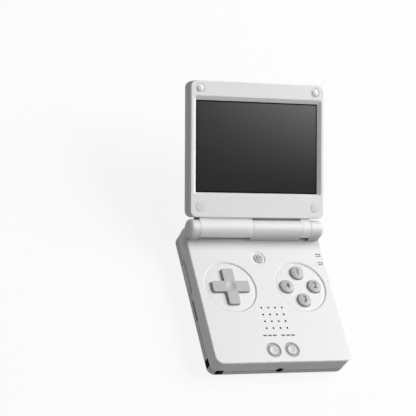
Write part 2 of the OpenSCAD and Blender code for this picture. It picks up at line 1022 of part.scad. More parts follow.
module shoulder_right() {
    color("lightgray")
        difference() {
            intersection() {
                base_form();
                translate([shoulder_at[0], shoulder_at[1], clear_of_table])
                    linear_extrude(shoulder_top - clear_of_table)
                        intersection() {
                            circle(shoulder_reach);
                            behind_line(0);
                        }
            }
            translate([shoulder_at[0], shoulder_at[1], wall + 1.2])
                cylinder(r = shoulder_pin_r + run_gap, h = shoulder_top);
            translate([shoulder_at[0], shoulder_at[1], shoulder_top - shoulder_spring_l - skin_gap])
                cylinder(r = shoulder_spring_r + shoulder_spring_room, h = shoulder_spring_l + 1);
        }
}

module shoulder_left() {
    mirror([1, 0, 0])
        shoulder_right();
}

module shoulder_pins() {
    color("silver")
        both_sides()
            translate([shoulder_at[0], shoulder_at[1], wall + 1.4])
                cylinder(r = shoulder_pin_r, h = deck_z - wall - 1.6);
}

module shoulder_springs() {
    color("silver")
        both_sides()
            translate([shoulder_at[0], shoulder_at[1], shoulder_top - shoulder_spring_l - 0.1])
                difference() {
                    cylinder(r = shoulder_spring_r, h = shoulder_spring_l);
                    translate([0, 0, -1])
                        cylinder(r = shoulder_spring_r - shoulder_spring_wire, h = shoulder_spring_l + 2);
                }
}

module trigger_right() {
    color("lightgray") {
        intersection() {
            base_form();
            block([trigger_x, half_d - trigger_depth, clear_of_table],
                  [trigger_x + trigger_w, half_d + 1, shoulder_top]);
        }
        block([trigger_x - trigger_flange[0], trigger_back - trigger_flange[1], wall + 0.4],
              [trigger_x + trigger_w + trigger_flange[0], trigger_back, shoulder_top + 0.8]);
    }
}

module trigger_left() {
    mirror([1, 0, 0])
        trigger_right();
}

// Side controls

module side_button(y, length) {
    back = inner_w - side_flange_gap;
    translate([0, y, seam_z]) {
        along_x(back - 0.1, half_w + side_proud)
            pill(length, side_h);
        along_x(back - side_flange, back)
            rounded(length + 1.6, side_h + 1.4, 0.6);
    }
}

module volume_rocker() {
    back = inner_w - volume_play;
    color("silver")
        translate([0, volume_y, seam_z]) {
            along_x(-half_w - side_proud, -half_w - side_proud + rocker_t)
                pill(volume_len, side_h);
            along_x(-half_w - side_proud + rocker_t - 0.1, -back + 0.1)
                pill(volume_stem, side_h);
            along_x(-back, -back + side_flange)
                rounded(volume_stem + 1.6, side_h + 1.4, 0.6);
        }
}

module power_button() {
    color("silver")
        side_button(power_y, power_len);
}

module reset_button() {
    color("silver")
        side_button(reset_y, reset_len);
}

// Hinge

module hinge_pins() {
    color("silver")
        on_hinge() {
            bar(pin_r, -half_w + 1.3, left_x + pin_grip);
            bar(pin_r, web_x + seat_gap, half_w - 1.3);
        }
}

module hinge_cartridge() {
    color("silver")
        on_hinge()
            difference() {
                bar(cartridge_r, cartridge_x, lid_right_x - seat_gap);
                bar(pin_r + run_gap, cartridge_x + 6, lid_right_x + 1);
            }
}

module hinge_cam() {
    color("silver")
        on_hinge() {
            bar(pin_r, cartridge_x + 8, lid_right_x + 1);
            bar(2.5, lid_right_x + knuckle_gap / 2, web_x - 0.2);
        }
}

module display_flex_base() {
    color("orange")
        on_hinge() {
            difference() {
                bar(flex_r, middle_x + 0.3, flex_base_x[1] + 0.5);
                bar(flex_r - flex_t, middle_x, flex_base_x[1] + 1);
            }
            block([flex_base_x[0], -flex_r, board_top + seat_gap - hinge_z], [flex_base_x[1], -flex_r + flex_t, 0]);
        }
}

// Lid, drawn closed

module lid_knuckle(x0, x1) {
    bar(hinge_r, x0 + knuckle_gap / 2, x1 - knuckle_gap / 2);
    block([x0 + knuckle_gap / 2, -lid_start - 2, 0], [x1 - knuckle_gap / 2, 0, hinge_r]);
    block([x0 + knuckle_gap / 2, seat_gap - lid_start, -neck_front], [x1 - knuckle_gap / 2, 0, 0.1]);
}

// A lip of the lid's end wall that follows the base's middle knuckle
module barrel_lip(x0, x1) {
    difference() {
        block([x0 - knuckle_gap, -lid_start - lip_root, lip_low],
              [x1 + knuckle_gap, lip_wrap - hinge_r, lip_top]);
        bar(hinge_r + trough_gap, x0 - knuckle_gap / 2, x1 + knuckle_gap / 2);
    }
}

module lid_pocket(u0, u1, low, high) {
    block([-33, -u1, low], [33, -u0, high]);
}

module lid_bezel() {
    color("gainsboro")
        on_lid()
            difference() {
                intersection() {
                    lid_form();
                    slab(face_z - 1, split_z);
                }
                hull() {
                    translate([0, -(frame_u0 + frame_u1) / 2, face_z - 0.02])
                        linear_extrude(0.02)
                            rounded(frame_w, frame_u1 - frame_u0, frame_r);
                    translate([0, -glass_u, glass_z])
                        cube([glass_w + 0.2, glass_h + 0.2, 0.02], center = true);
                }
                translate([0, -glass_u, (glass_z + ledge_z) / 2])
                    cube([glass_w + 0.2, glass_h + 0.2, ledge_z - glass_z], center = true);
                translate([0, -glass_u, 0])
                    cube([view[0], view[1], 20], center = true);
                lid_pocket(lid_start + wall + 0.4, frame_u0 - 1.4, face_z + 1.8, split_z + 1);
                lid_pocket(frame_u1 + 1.4, lid_end - wall - 0.4, face_z + 1.8, split_z + 1);
                for (p = lid_screws_at)
                    translate([p[0] * lid_screw_x, -p[1], face_z]) {
                        translate([0, 0, -1])
                            cylinder(r = cap_r + seat_gap, h = cap_t + lid_head[1] + 1.15);
                        cylinder(r = lid_screw_r + 0.2, h = bezel_t + 1);
                    }
            }
}

module lid_back_cover() {
    color("darkgray")
        on_lid()
            difference() {
                union() {
                    difference() {
                        intersection() {
                            lid_form();
                            slab(split_z, back_z + 1);
                        }
                        translate([0, -(lid_start + lid_end) / 2, split_z - 1])
                            linear_extrude(back_z - lid_roof - split_z + 1)
                                rounded(lid_w - 2 * wall, lid_end - lid_start - 2 * wall, lid_corner - wall);
                    }
                    for (p = lid_screws_at)
                        translate([p[0] * lid_screw_x, -p[1], split_z])
                            cylinder(r = 2.8, h = back_z - lid_roof - split_z + 0.5);
                    for (x = [-1, 1], u = [glass_u - 15, glass_u + 15])
                        translate([x * 25, -u, split_z + panel[2] + 0.3])
                            cylinder(r = 2, h = back_z - lid_roof - split_z - panel[2]);
                    lid_knuckle(left_x, middle_x);
                    lid_knuckle(lid_right_x, right_x);
                    barrel_lip(middle_x, lid_right_x);
                }
                bar(pin_r + run_gap, left_x - 1, left_x + pin_grip + 0.2);
                bar(flex_bore_r, flex_lid_x[0] - 2, middle_x + 1);
                bar(2.5 + hold_gap, lid_right_x - 1, web_x - 0.1);
                bar(pin_r + run_gap, web_x, right_x + 1);
                block([flex_lid_x[0] - 0.4, -lid_start - wall - 1, flex_r - flex_t - 0.3],
                      [flex_lid_x[1] + 0.4, 0, flex_r + 0.3]);
                for (p = lid_screws_at)
                    translate([p[0] * lid_screw_x, -p[1], split_z - 1])
                        cylinder(r = lid_screw_r + hold_gap, h = 5);
                translate([0, -badge_u, back_z - 0.8])
                    linear_extrude(2)
                        pill(badge_len + 0.2, badge_w + 0.2);
            }
}

module screen_glass() {
    color("black")
        on_lid()
            translate([-glass_w / 2, -glass_u - glass_h / 2, glass_z])
                cube([glass_w, glass_h, glass_t]);
}

module display_panel() {
    color("dimgray")
        on_lid()
            translate([-panel[0] / 2, -glass_u - panel[1] / 2, split_z + seat_gap])
                cube(panel);
}

module display_flex_lid() {
    color("orange")
        on_lid() {
            difference() {
                bar(flex_r, flex_lid_x[0], middle_x - 0.4);
                bar(flex_r - flex_t, flex_lid_x[0] - 1, middle_x);
            }
            block([flex_lid_x[0], -glass_u + panel[1] / 2 - 3, flex_r - flex_t], [flex_lid_x[1], 0, flex_r]);
        }
}

module lid_screws() {
    color("silver")
        on_lid()
            for (p = lid_screws_at)
                translate([p[0] * lid_screw_x, -p[1], face_z + cap_t + 0.1]) {
                    cylinder(r = lid_head[0], h = lid_head[1]);
                    cylinder(r = lid_screw_r, h = lid_head[1] + 5);
                }
}

module lid_bumpers() {
    bend = (cap_r * cap_r + bumper_dome * bumper_dome) / (2 * bumper_dome);
    color("white")
        on_lid()
            for (i = [2, 3])
                translate([lid_screws_at[i][0] * lid_screw_x, -lid_screws_at[i][1], face_z]) {
                    cylinder(r = cap_r, h = cap_t);
                    intersection() {
                        translate([0, 0, bend - bumper_dome])
                            sphere(bend);
                        translate([0, 0, -2])
                            cylinder(r = cap_r, h = 2 + cap_t);
                    }
                }
}

module lid_screw_caps() {
    color("gainsboro")
        on_lid()
            for (i = [0, 1])
                translate([lid_screws_at[i][0] * lid_screw_x, -lid_screws_at[i][1], face_z])
                    cylinder(r = cap_r, h = cap_t);
}

module badge_plate() {
    color("dimgray")
        on_lid()
            translate([0, -badge_u, back_z - 0.8 + seat_gap])
                linear_extrude(0.7)
                    pill(badge_len, badge_w);
}

module lid_magnet() {
    color("silver")
        on_lid()
            translate([20, -(frame_u1 + lid_end) / 2, face_z + 1.8 + seat_gap])
                cylinder(r = 2, h = 1);
}

base_top_shell();
base_bottom_shell();
hinge_knuckles();
main_board();
board_screws();
battery();
battery_lead();
speaker();
speaker_gasket();
dpad_membrane();
face_membrane();
small_membranes();
audio_jack();
usb_socket();
video_socket();
card_socket_left();
card_socket_right();
shoulder_switches();
side_switches();
shoulder_pins();
shoulder_springs();
base_screws();
foot_caps();
light_pipes();
hinge_pins();
hinge_cartridge();
display_flex_base();
dpad_pivot();
dpad();
face_button_top();
face_button_left();
face_button_right();
face_button_bottom();
menu_button();
select_button();
start_button();
shoulder_left();
shoulder_right();
trigger_left();
trigger_right();
volume_rocker();
power_button();
reset_button();
lid_bezel();
lid_back_cover();
screen_glass();
display_panel();
display_flex_lid();
lid_screws();
lid_bumpers();
lid_screw_caps();
badge_plate();
lid_magnet();
hinge_cam();
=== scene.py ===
"""A clamshell handheld game console, lid open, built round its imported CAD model."""
import json
import math

import bmesh
import bpy
from mathutils import Matrix, Quaternion, Vector


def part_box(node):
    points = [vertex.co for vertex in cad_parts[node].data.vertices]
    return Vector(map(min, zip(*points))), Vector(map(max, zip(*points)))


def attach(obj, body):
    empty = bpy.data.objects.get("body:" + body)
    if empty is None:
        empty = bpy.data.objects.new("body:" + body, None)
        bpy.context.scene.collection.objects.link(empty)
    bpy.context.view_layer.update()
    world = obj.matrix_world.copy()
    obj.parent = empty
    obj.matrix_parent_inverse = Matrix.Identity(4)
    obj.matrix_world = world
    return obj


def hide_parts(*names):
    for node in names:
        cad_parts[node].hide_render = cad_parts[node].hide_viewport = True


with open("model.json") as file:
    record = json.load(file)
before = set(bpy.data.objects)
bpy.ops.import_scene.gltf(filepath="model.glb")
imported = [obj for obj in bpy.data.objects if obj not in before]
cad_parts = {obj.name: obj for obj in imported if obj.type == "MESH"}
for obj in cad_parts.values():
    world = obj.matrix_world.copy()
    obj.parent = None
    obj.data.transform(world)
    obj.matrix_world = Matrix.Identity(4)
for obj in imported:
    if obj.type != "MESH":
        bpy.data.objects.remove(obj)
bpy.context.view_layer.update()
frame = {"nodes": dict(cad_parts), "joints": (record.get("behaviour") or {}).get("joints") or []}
scene = bpy.context.scene
scene.view_settings.view_transform = "Standard"

# Camera
# A long lens looks down from the front left and is rolled about its own axis, so
# that the console stands on its near corner, as in the photograph.
mm = 0.001
camera_at = Vector((-502.51, -479.35, 862.15)) * mm
camera_aim = Vector((-56.88, 20.0, 73.59)) * mm
camera_roll = math.radians(35.03)
eye = bpy.data.cameras.new("eye")
eye.sensor_width = 36
eye.lens = 165.15
eye.clip_start = 0.05
eye.clip_end = 100
camera = bpy.data.objects.new("camera", eye)
camera.rotation_mode = "QUATERNION"
camera.location = camera_at
level_view = (camera_aim - camera_at).to_track_quat("-Z", "Y")
camera.rotation_quaternion = level_view @ Quaternion((0, 0, 1), camera_roll)
scene.collection.objects.link(camera)
scene.camera = camera


# Table and studio light
# The console lies on a pale table in a light tent: one large softbox high on the
# right with a small one before it, a weak panel low on the left, and a dim white dome.
class Wire:
    """An output in a node tree. Sums and products of wires add Math nodes."""

    def __init__(self, tree, socket):
        self.tree = tree
        self.socket = socket

    def other(self, outlet):
        return Wire(self.tree, self.socket.node.outputs[outlet])

    def math(self, operation, *values):
        inputs = dict(enumerate((self, *values)))
        return self.tree.node("ShaderNodeMath", {"operation": operation}, inputs)

    def __add__(self, value):
        return self.math("ADD", value)

    __radd__ = __add__

    def __mul__(self, value):
        return self.math("MULTIPLY", value)

    def __sub__(self, value):
        return self.math("SUBTRACT", value)

    def __rsub__(self, value):
        return self.tree.node("ShaderNodeMath", {"operation": "SUBTRACT"}, {0: value, 1: self})

    def __truediv__(self, value):
        return self.math("DIVIDE", value)

    def __gt__(self, value):
        return self.math("GREATER_THAN", value)

    def __lt__(self, value):
        return self.math("LESS_THAN", value)


class Tree:
    """A node tree that is written one node at a time."""

    def __init__(self, nodes):
        self.nodes = nodes

    def node(self, kind, settings=None, inputs=None, outlet=0):
        made = self.nodes.nodes.new(kind)
        for name, value in (settings or {}).items():
            setattr(made, name, value)
        for name, value in (inputs or {}).items():
            if isinstance(value, Wire):
                self.nodes.links.new(value.socket, made.inputs[name])
            else:
                made.inputs[name].default_value = value
        if not made.outputs:
            return None
        return Wire(self, made.outputs[outlet])

    def blend(self, factor, low, high):
        """The colour that lies between two others by a factor."""
        return self.node("ShaderNodeMix", {"data_type": "RGBA"}, {0: factor, 6: low, 7: high}, 2)


def seen_as_background(tree):
    """1 for the rays that show the background as it is, 0 for those that light the object."""
    path = tree.node("ShaderNodeLightPath", outlet="Is Camera Ray")
    seen = path.math("MAXIMUM", path.other("Is Glossy Ray"))
    return seen.math("MAXIMUM", path.other("Is Transmission Ray"))


def grey(level, tint=(1, 1, 1)):
    """The linear colour of a grey level between 0 and 255."""
    part = level / 255
    light = part / 12.92 if part <= 0.04045 else ((part + 0.055) / 1.055) ** 2.4
    return (light * tint[0], light * tint[1], light * tint[2], 1)


def placed(shape, name, material=None):
    """The shape as a piece in the scene, in its material if it has one yet."""
    mesh = bpy.data.meshes.new(name)
    shape.to_mesh(mesh)
    shape.free()
    if material:
        mesh.materials.append(material)
    piece = bpy.data.objects.new(name, mesh)
    scene.collection.objects.link(piece)
    return piece


dome_light = 0.17
studio = bpy.data.worlds.new("studio")
studio.use_nodes = True
studio.node_tree.nodes.clear()
scene.world = studio
sky = Tree(studio.node_tree)
sky_strength = dome_light + seen_as_background(sky) * (1 - dome_light)
sky_light = sky.node("ShaderNodeBackground", inputs={"Strength": sky_strength})
sky.node("ShaderNodeOutputWorld", inputs={"Surface": sky_light})

table_half = 20
table_shape = bmesh.new()
bmesh.ops.create_grid(table_shape, x_segments=1, y_segments=1, size=table_half)
table = placed(table_shape, "table")
table_finish = bpy.data.materials.new("table_paper")
table_finish.use_nodes = True
table_finish.node_tree.nodes.clear()
paper = Tree(table_finish.node_tree)
paper_seen = seen_as_background(paper)
paper_colour = paper.blend(paper_seen, grey(104), grey(252))
paper_skin = paper.node("ShaderNodeBsdfDiffuse", inputs={"Color": paper_colour})
paper_glow = paper.node("ShaderNodeEmission", inputs={"Color": grey(255), "Strength": 1.0})
paper_lit = paper.node("ShaderNodeMixShader", inputs={0: paper_seen * 0.88, 1: paper_skin, 2: paper_glow})
paper.node("ShaderNodeOutputMaterial", inputs={"Surface": paper_lit})
table.data.materials.append(table_finish)


def softbox(name, direction, distance, size, level):
    """A square lamp that lights a white sheet facing it to the level given."""
    lamp = bpy.data.lights.new(name, "AREA")
    lamp.size = size
    lamp.energy = level * math.pi ** 2 * distance ** 2
    box = bpy.data.objects.new(name, lamp)
    box.rotation_mode = "QUATERNION"
    towards = Vector(direction).normalized()
    middle = Vector((0, 20, 20)) * mm
    box.location = middle + towards * distance
    box.rotation_quaternion = (-towards).to_track_quat("-Z", "Y")
    scene.collection.objects.link(box)


softbox("key_lamp", (0.71, 0.13, 0.69), 1.6, 1.1, 0.98)
softbox("side_lamp", (0.65, -0.16, 0.74), 1.6, 0.3, 0.1)
softbox("fill_lamp", (-0.85, -0.45, 0.3), 1.6, 1.0, 0.08)


# Deck shell
# The upper half of the base: ABS moulded in one piece with the control deck, its
# two dishes and the hinge knuckles, then sprayed with a fine silver paint.
same_point = 0.0002 * mm
same_plane = math.radians(0.3)


def made_whole(mesh):
    """A mesh as a shape whose corners are joined and whose flat faces are whole."""
    shape = bmesh.new()
    shape.from_mesh(mesh)
    bmesh.ops.remove_doubles(shape, verts=shape.verts, dist=same_point)
    bmesh.ops.dissolve_limit(shape, angle_limit=same_plane, verts=shape.verts, edges=shape.edges)
    return shape


def closed_copy(node, name):
    """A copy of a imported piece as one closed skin, with its flat faces whole."""
    return placed(made_whole(frame["nodes"][node].data), name)


def welded(piece, other):
    """The piece and another that it touches as one skin, as they are moulded."""
    weld = piece.modifiers.new("weld", "BOOLEAN")
    weld.operation = "UNION"
    weld.solver = "EXACT"
    weld.object = other
    settled(piece)
    bpy.data.objects.remove(other)
    shape = made_whole(piece.data)
    shape.to_mesh(piece.data)
    shape.free()
    return piece


def settled(piece):
    """The piece with what its modifiers do made part of its mesh."""
    graph = bpy.context.evaluated_depsgraph_get()
    mesh = bpy.data.meshes.new_from_object(piece.evaluated_get(graph), depsgraph=graph)
    piece.modifiers.clear()
    piece.data = mesh
    return piece


def with_round_edges(piece, width, segments=2):
    """The piece with each edge that is sharper than 32 degrees rounded."""
    edge = piece.modifiers.new("edge", "BEVEL")
    edge.width = width
    edge.segments = segments
    edge.limit_method = "ANGLE"
    edge.angle_limit = math.radians(32)
    edge.use_clamp_overlap = True
    edge.miter_outer = "MITER_ARC"
    return settled(piece)


def smoothed(piece, angle=38):
    """The piece with soft shading across its curves, and its flats still flat."""
    piece.data.shade_smooth()
    piece.data.set_sharp_from_angle(angle=math.radians(angle))
    weights = piece.modifiers.new("weights", "WEIGHTED_NORMAL")
    weights.keep_sharp = True
    return settled(piece)


def finished(piece, material, body, slot, *nodes):
    """The piece with its finish, on its body, in place of its CAD nodes."""
    if not piece.data.materials:
        piece.data.materials.append(material)
    piece.data.materials[0] = material
    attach(piece, body)
    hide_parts(*nodes)
    return piece


def finish_tree(name):
    """A new material, with its tree and a wire to where things are on the object."""
    material = bpy.data.materials.new(name)
    material.use_nodes = True
    material.node_tree.nodes.clear()
    tree = Tree(material.node_tree)
    place = tree.node("ShaderNodeTexCoord", outlet="Object")
    return material, tree, place


def surfaced(tree, height, depth, **sockets):
    """Ends a finish with its shader, whose relief is the height times the depth."""
    relief = tree.node("ShaderNodeBump", {}, {"Strength": 1, "Distance": depth, "Height": height})
    inputs = {"Normal": relief}
    for name, value in sockets.items():
        inputs[name.replace("_", " ").title().replace("Ior", "IOR")] = value
    shader = tree.node("ShaderNodeBsdfPrincipled", {}, inputs)
    tree.node("ShaderNodeOutputMaterial", {}, {"Surface": shader})


def silver_paint(name, level, corner=None, shade=0.0, shine=0.12):
    """Silver spray paint: flakes under satin lacquer. The colour may darken towards a
    line along X, given by its Y, its Z and its reach, in place of the line's soft shadow.
    """
    flake = 0.16 * mm
    spread = 7
    material, tree, place = finish_tree(name)
    flakes = tree.node("ShaderNodeTexVoronoi", {}, {"Vector": place, "Scale": 1 / flake}, "Color")
    flake_tone = tree.node("ShaderNodeSeparateColor", {}, {"Color": flakes})
    mottle = tree.node("ShaderNodeTexNoise", {}, {"Vector": place, "Scale": 1 / (0.9 * mm), "Detail": 3})
    cloud = tree.node("ShaderNodeTexNoise", {}, {"Vector": place, "Scale": 1 / (28 * mm), "Detail": 2})
    tone = flake_tone * 0.45 + mottle * 0.35 + cloud * 0.2
    colour = tree.blend(tone, grey(level - spread), grey(level + spread))
    if corner:
        apart = tree.node("ShaderNodeSeparateXYZ", {}, {"Vector": place}, "Y")
        along = (apart - corner[0]).math("POWER", 2)
        up = (apart.other("Z") - corner[1]).math("POWER", 2)
        far = (along + up).math("SQRT") / corner[2]
        shaded = (1 - far).math("MAXIMUM", 0.0) * shade
        colour = tree.blend(shaded, colour, grey(0))
    peel = tree.node("ShaderNodeTexNoise", {}, {"Vector": place, "Scale": 1 / (1.4 * mm), "Detail": 1})
    surfaced(
        tree, peel * 0.6 + flake_tone * 0.4, 0.012 * mm, base_color=colour,
        roughness=0.46 + cloud * 0.1 + flake_tone * 0.08, metallic=shine,
    )
    return material


def moulded(name, level, rough, grain=0.25 * mm, depth=0.01 * mm, spread=5, tint=(1, 1, 1), subsurface=0.0):
    """Moulded plastic or rubber: spark-eroded grain, uneven gloss, slight flow marks."""
    material, tree, place = finish_tree(name)
    fine = tree.node("ShaderNodeTexNoise", {}, {"Vector": place, "Scale": 1 / grain, "Detail": 3})
    flow = tree.node("ShaderNodeTexNoise", {}, {"Vector": place, "Scale": 1 / (9 * mm), "Detail": 2})
    tone = fine * 0.5 + flow * 0.5
    colour = tree.blend(tone, grey(level - spread, tint), grey(level + spread, tint))
    surfaced(
        tree, fine, depth, base_color=colour, roughness=rough - 0.06 + flow * 0.12,
        subsurface_weight=subsurface, subsurface_scale=0.5 * mm,
    )
    return material


base_half = (43.45 * mm, 45 * mm)
deck_top = 15.5 * mm
under_barrel = (34.4 * mm, deck_top, 6.5 * mm)
shell_paint = silver_paint("shell_paint", 232, corner=under_barrel, shade=0.36)
lid_paint = silver_paint("lid_paint", 246, shine=0.03)


def turned(name, outline, at, material, turns=48):
    """A round solid about an upright axis, from the radii and heights of its outline."""
    shape = bmesh.new()
    rings = []
    for radius, height in outline:
        if radius == 0:
            rings.append([shape.verts.new((at[0], at[1], at[2] + height))])
            continue
        ring = []
        for turn in range(turns):
            angle = 2 * math.pi * turn / turns
            across = at[0] + radius * math.cos(angle)
            along = at[1] + radius * math.sin(angle)
            ring.append(shape.verts.new((across, along, at[2] + height)))
        rings.append(ring)
    closed = outline[0][0] > 0
    pairs = list(zip(rings, rings[1:] + rings[:1] if closed else rings[1:]))
    for lower, upper in pairs:
        for turn in range(turns):
            after = (turn + 1) % turns
            corners = [lower[turn % len(lower)], lower[after % len(lower)]]
            corners += [upper[after % len(upper)], upper[turn % len(upper)]]
            unique = list(dict.fromkeys(corners))
            if len(unique) > 2:
                shape.faces.new(unique)
    bmesh.ops.recalc_face_normals(shape, faces=shape.faces)
    return placed(shape, name, material)


def band(inner, outer, low, high):
    """The outline of a ring, from its radii and heights in millimetres."""
    corners = ((inner, low), (outer, low), (outer, high), (inner, high))
    return [(radius * mm, height * mm) for radius, height in corners]


def cut_with(piece, cutter):
    """The piece less the cutter, whose finish the cut takes."""
    chisel = piece.modifiers.new("cut", "BOOLEAN")
    chisel.operation = "DIFFERENCE"
    chisel.solver = "EXACT"
    chisel.material_mode = "TRANSFER"
    chisel.object = cutter
    settled(piece)
    bpy.data.objects.remove(cutter)
    return piece


deck_shell = welded(
    closed_copy("base_top_shell", "deck_shell"), closed_copy("hinge_knuckles", "knuckles")
)
deck_shell.data.materials.append(shell_paint)
dish_outline = [(0, -0.45 * mm), (15.1 * mm, -0.45 * mm), (15.6 * mm, -0.62 * mm)]
dish_outline += [(16.5 * mm, 0), (16.5 * mm, mm), (0, mm)]
for first, last in (("dpad", "dpad"), ("face_button_left", "face_button_right")):
    low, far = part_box(first)
    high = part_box(last)[1]
    dish_at = ((low.x + high.x) / 2, (low.y + far.y) / 2, deck_top)
    cut_with(deck_shell, turned("dish_cutter", dish_outline, dish_at, shell_paint, 96))
hinge = next(joint for joint in frame["joints"] if joint["name"] == "lid_hinge")
hinge_y, hinge_z = hinge["pos_m"][1:]
end_ring = band(1.9, 2.25, -0.24, 0.4)
for side in (-1, 1):
    ring_cutter = turned("end_ring_cutter", end_ring, (0, 0, 0), shell_paint, 40)
    sideways = Matrix.Rotation(side * math.pi / 2, 4, "Y")
    barrel_end = Matrix.Translation((side * base_half[0], hinge_y, hinge_z))
    ring_cutter.data.transform(barrel_end @ sideways)
    cut_with(deck_shell, ring_cutter)
with_round_edges(deck_shell, 0.2 * mm)
# Painted shade: the walls of the grille holes and of the strap tunnel take a near black colour in place of
# the shade inside them.
painted_hole_shade = moulded("painted_hole_shade", 24, 0.85, grain=0.3 * mm)
joint_shadow = moulded("joint_shadow", 62, 0.8)
# Painted shade: the walls and floor of the pocket round each lower button take a darker grey in place of
# the pocket's shade.
painted_pocket_shade = silver_paint("painted_pocket_shade", 176)
for painted_shade in (painted_hole_shade, joint_shadow, painted_pocket_shade):
    deck_shell.data.materials.append(painted_shade)


def paint_tunnel_shade(piece, index):
    """Gives the walls of the strap tunnel, round the front left corner, a finish: a near black painted
    shade in place of the shade inside the tunnel.
    """
    corner = Vector((-base_half[0], -base_half[1]))
    inner_wall, outer_wall = 3.5, 8.3
    floor, roof = 2.8, 7.2
    points = piece.data.vertices
    for face in piece.data.polygons:
        ring = [(points[v].co.xy - corner).length / mm for v in face.vertices]
        heights = [points[v].co.z / mm for v in face.vertices]
        in_ring = min(ring) > inner_wall and max(ring) < outer_wall
        if in_ring and min(heights) > floor and max(heights) < roof:
            face.material_index = index


in_hole, in_joint, in_pocket = 1, 2, 3
grille_x, grille_front, grille_rear, under_deck = 9, -25, -4, 13
left_joint, right_joint, joint_reach, over_deck = -37.0, 34.9, 0.45, 15.8
lower_key_x, lower_key_y, pocket_wide = 5.8, -37.1, 4.9
pocket_floor, pocket_rim = 14.5, 15.49
left_wall, window_front, window_rear, window_low, window_high = -41.9, 4.4, 27.5, 3.9, 7.7
for face in deck_shell.data.polygons:
    x, y, z = (part / mm for part in face.center)
    steep = abs(face.normal.z) < 0.5
    # The walls of the grille holes take the near black painted shade.
    if abs(x) < grille_x and grille_front < y < grille_rear and z > under_deck and steep:
        face.material_index = in_hole
    from_joint = min(abs(x - left_joint), abs(x - right_joint))
    if z > over_deck and abs(face.normal.x) > 0.3 and from_joint < joint_reach:
        face.material_index = in_joint
    # The pocket round each lower button takes the darker painted shade.
    from_key = math.hypot(abs(x) - lower_key_x, y - lower_key_y)
    if from_key < pocket_wide and pocket_floor < z < pocket_rim:
        face.material_index = in_pocket
    in_window = x < left_wall and window_front < y < window_rear and window_low < z < window_high
    if in_window and abs(face.normal.x) < 0.5:
        face.material_index = in_joint
paint_tunnel_shade(deck_shell, in_hole)
finished(smoothed(deck_shell), shell_paint, "base", "shell", "base_top_shell", "hinge_knuckles")


# Tray
# The lower half of the base, sprayed a shade darker. Its long lower edges are well
# rounded, and it is screwed up into the deck shell from below.
def seam_ring(name, outer, inner, corner, low, high):
    """A square-cut frame with round corners, to cut the line where two shells meet."""
    shape = bmesh.new()
    loops = []
    for half_x, half_y, round_by in ((*outer, corner), (*inner, corner)):
        for height in (low, high):
            loop = []
            for quarter, (sign_x, sign_y) in enumerate(((1, 1), (-1, 1), (-1, -1), (1, -1))):
                for step in range(9):
                    angle = math.pi / 2 * (quarter + step / 8)
                    across = sign_x * (half_x - round_by) + round_by * math.cos(angle)
                    along = sign_y * (half_y - round_by) + round_by * math.sin(angle)
                    loop.append(shape.verts.new((across, along, height)))
            loops.append(loop)
    count = len(loops[0])
    for first, second in ((0, 1), (1, 3), (3, 2), (2, 0)):
        for step in range(count):
            after = (step + 1) % count
            quad = (loops[first][step], loops[first][after], loops[second][after], loops[second][step])
            shape.faces.new(quad)
    bmesh.ops.recalc_face_normals(shape, faces=shape.faces)
    return placed(shape, name)


tray_paint = silver_paint("tray_paint", 214)
tray = with_round_edges(closed_copy("base_bottom_shell", "tray"), 0.2 * mm)
tray.data.materials.append(tray_paint)
seam_shadow = moulded("seam_shadow", 70, 0.8)
seam_at = 5.8 * mm
seam_deep = 0.42 * mm
base_corner = 5 * mm
seam = seam_ring(
    "seam_cutter", [half + mm for half in base_half], [half - seam_deep for half in base_half],
    base_corner - seam_deep, seam_at - 0.28 * mm, seam_at + 0.05 * mm,
)
seam.data.materials.append(seam_shadow)
cut_with(tray, seam)
# The tray's side of the strap tunnel takes the same near black painted shade.
tray.data.materials.append(painted_hole_shade)
paint_tunnel_shade(tray, len(tray.data.materials) - 1)
finished(smoothed(tray), tray_paint, "base", "shell", "base_bottom_shell")


# Screws
# Steel screws with a cross recess hold the board, the base and the lid. Each set is
# one piece, made by one recipe from the places of its screws.
def recipe(name, sizes):
    """An empty Geometry Nodes tree with the sizes as its inputs, and wires to them."""
    group = bpy.data.node_groups.new(name, "GeometryNodeTree")
    group.interface.new_socket("Geometry", in_out="OUTPUT", socket_type="NodeSocketGeometry")
    group.interface.new_socket("Geometry", in_out="INPUT", socket_type="NodeSocketGeometry")
    for size in sizes:
        group.interface.new_socket(size, in_out="INPUT", socket_type="NodeSocketFloat")
    group.interface.new_socket("Finish", in_out="INPUT", socket_type="NodeSocketMaterial")
    tree = Tree(group)
    given = tree.node("NodeGroupInput", outlet="Geometry")
    return group, tree, given


def raised(tree, geometry, rise):
    """The geometry moved up by an amount that may be a wire."""
    way = tree.node("ShaderNodeCombineXYZ", {}, {"Z": rise})
    return tree.node("GeometryNodeTransform", {}, {"Geometry": geometry, "Translation": way})


def joined(tree, *parts):
    """The parts as one geometry."""
    whole = tree.nodes.nodes.new("GeometryNodeJoinGeometry")
    for part in reversed(parts):
        tree.nodes.links.new(part.socket, whole.inputs[0])
    return Wire(tree, whole.outputs[0])


def repeated(tree, given, part):
    """Ends a recipe: the part at each given point, as one mesh in the given finish."""
    copies = tree.node("GeometryNodeInstanceOnPoints", {}, {"Points": given, "Instance": part})
    solid = tree.node("GeometryNodeRealizeInstances", {}, {"Geometry": copies})
    dressed = tree.node(
        "GeometryNodeSetMaterial", {}, {"Geometry": solid, "Material": given.other("Finish")}
    )
    tree.node("NodeGroupOutput", {}, {"Geometry": dressed})


def made_at(group, name, points, material, place=None, **sizes):
    """The mesh that a recipe makes at the points, put in its place on the console."""
    mesh = bpy.data.meshes.new(name)
    mesh.from_pydata(points, [], [])
    piece = bpy.data.objects.new(name, mesh)
    scene.collection.objects.link(piece)
    step = piece.modifiers.new("recipe", "NODES")
    step.node_group = group
    values = {size.replace("_", " "): value for size, value in sizes.items()}
    values["finish"] = material
    for socket in group.interface.items_tree:
        if socket.in_out == "INPUT" and socket.name.lower() in values:
            step[socket.identifier] = values[socket.name.lower()]
    settled(piece)
    if place is not None:
        piece.data.transform(place)
    return piece


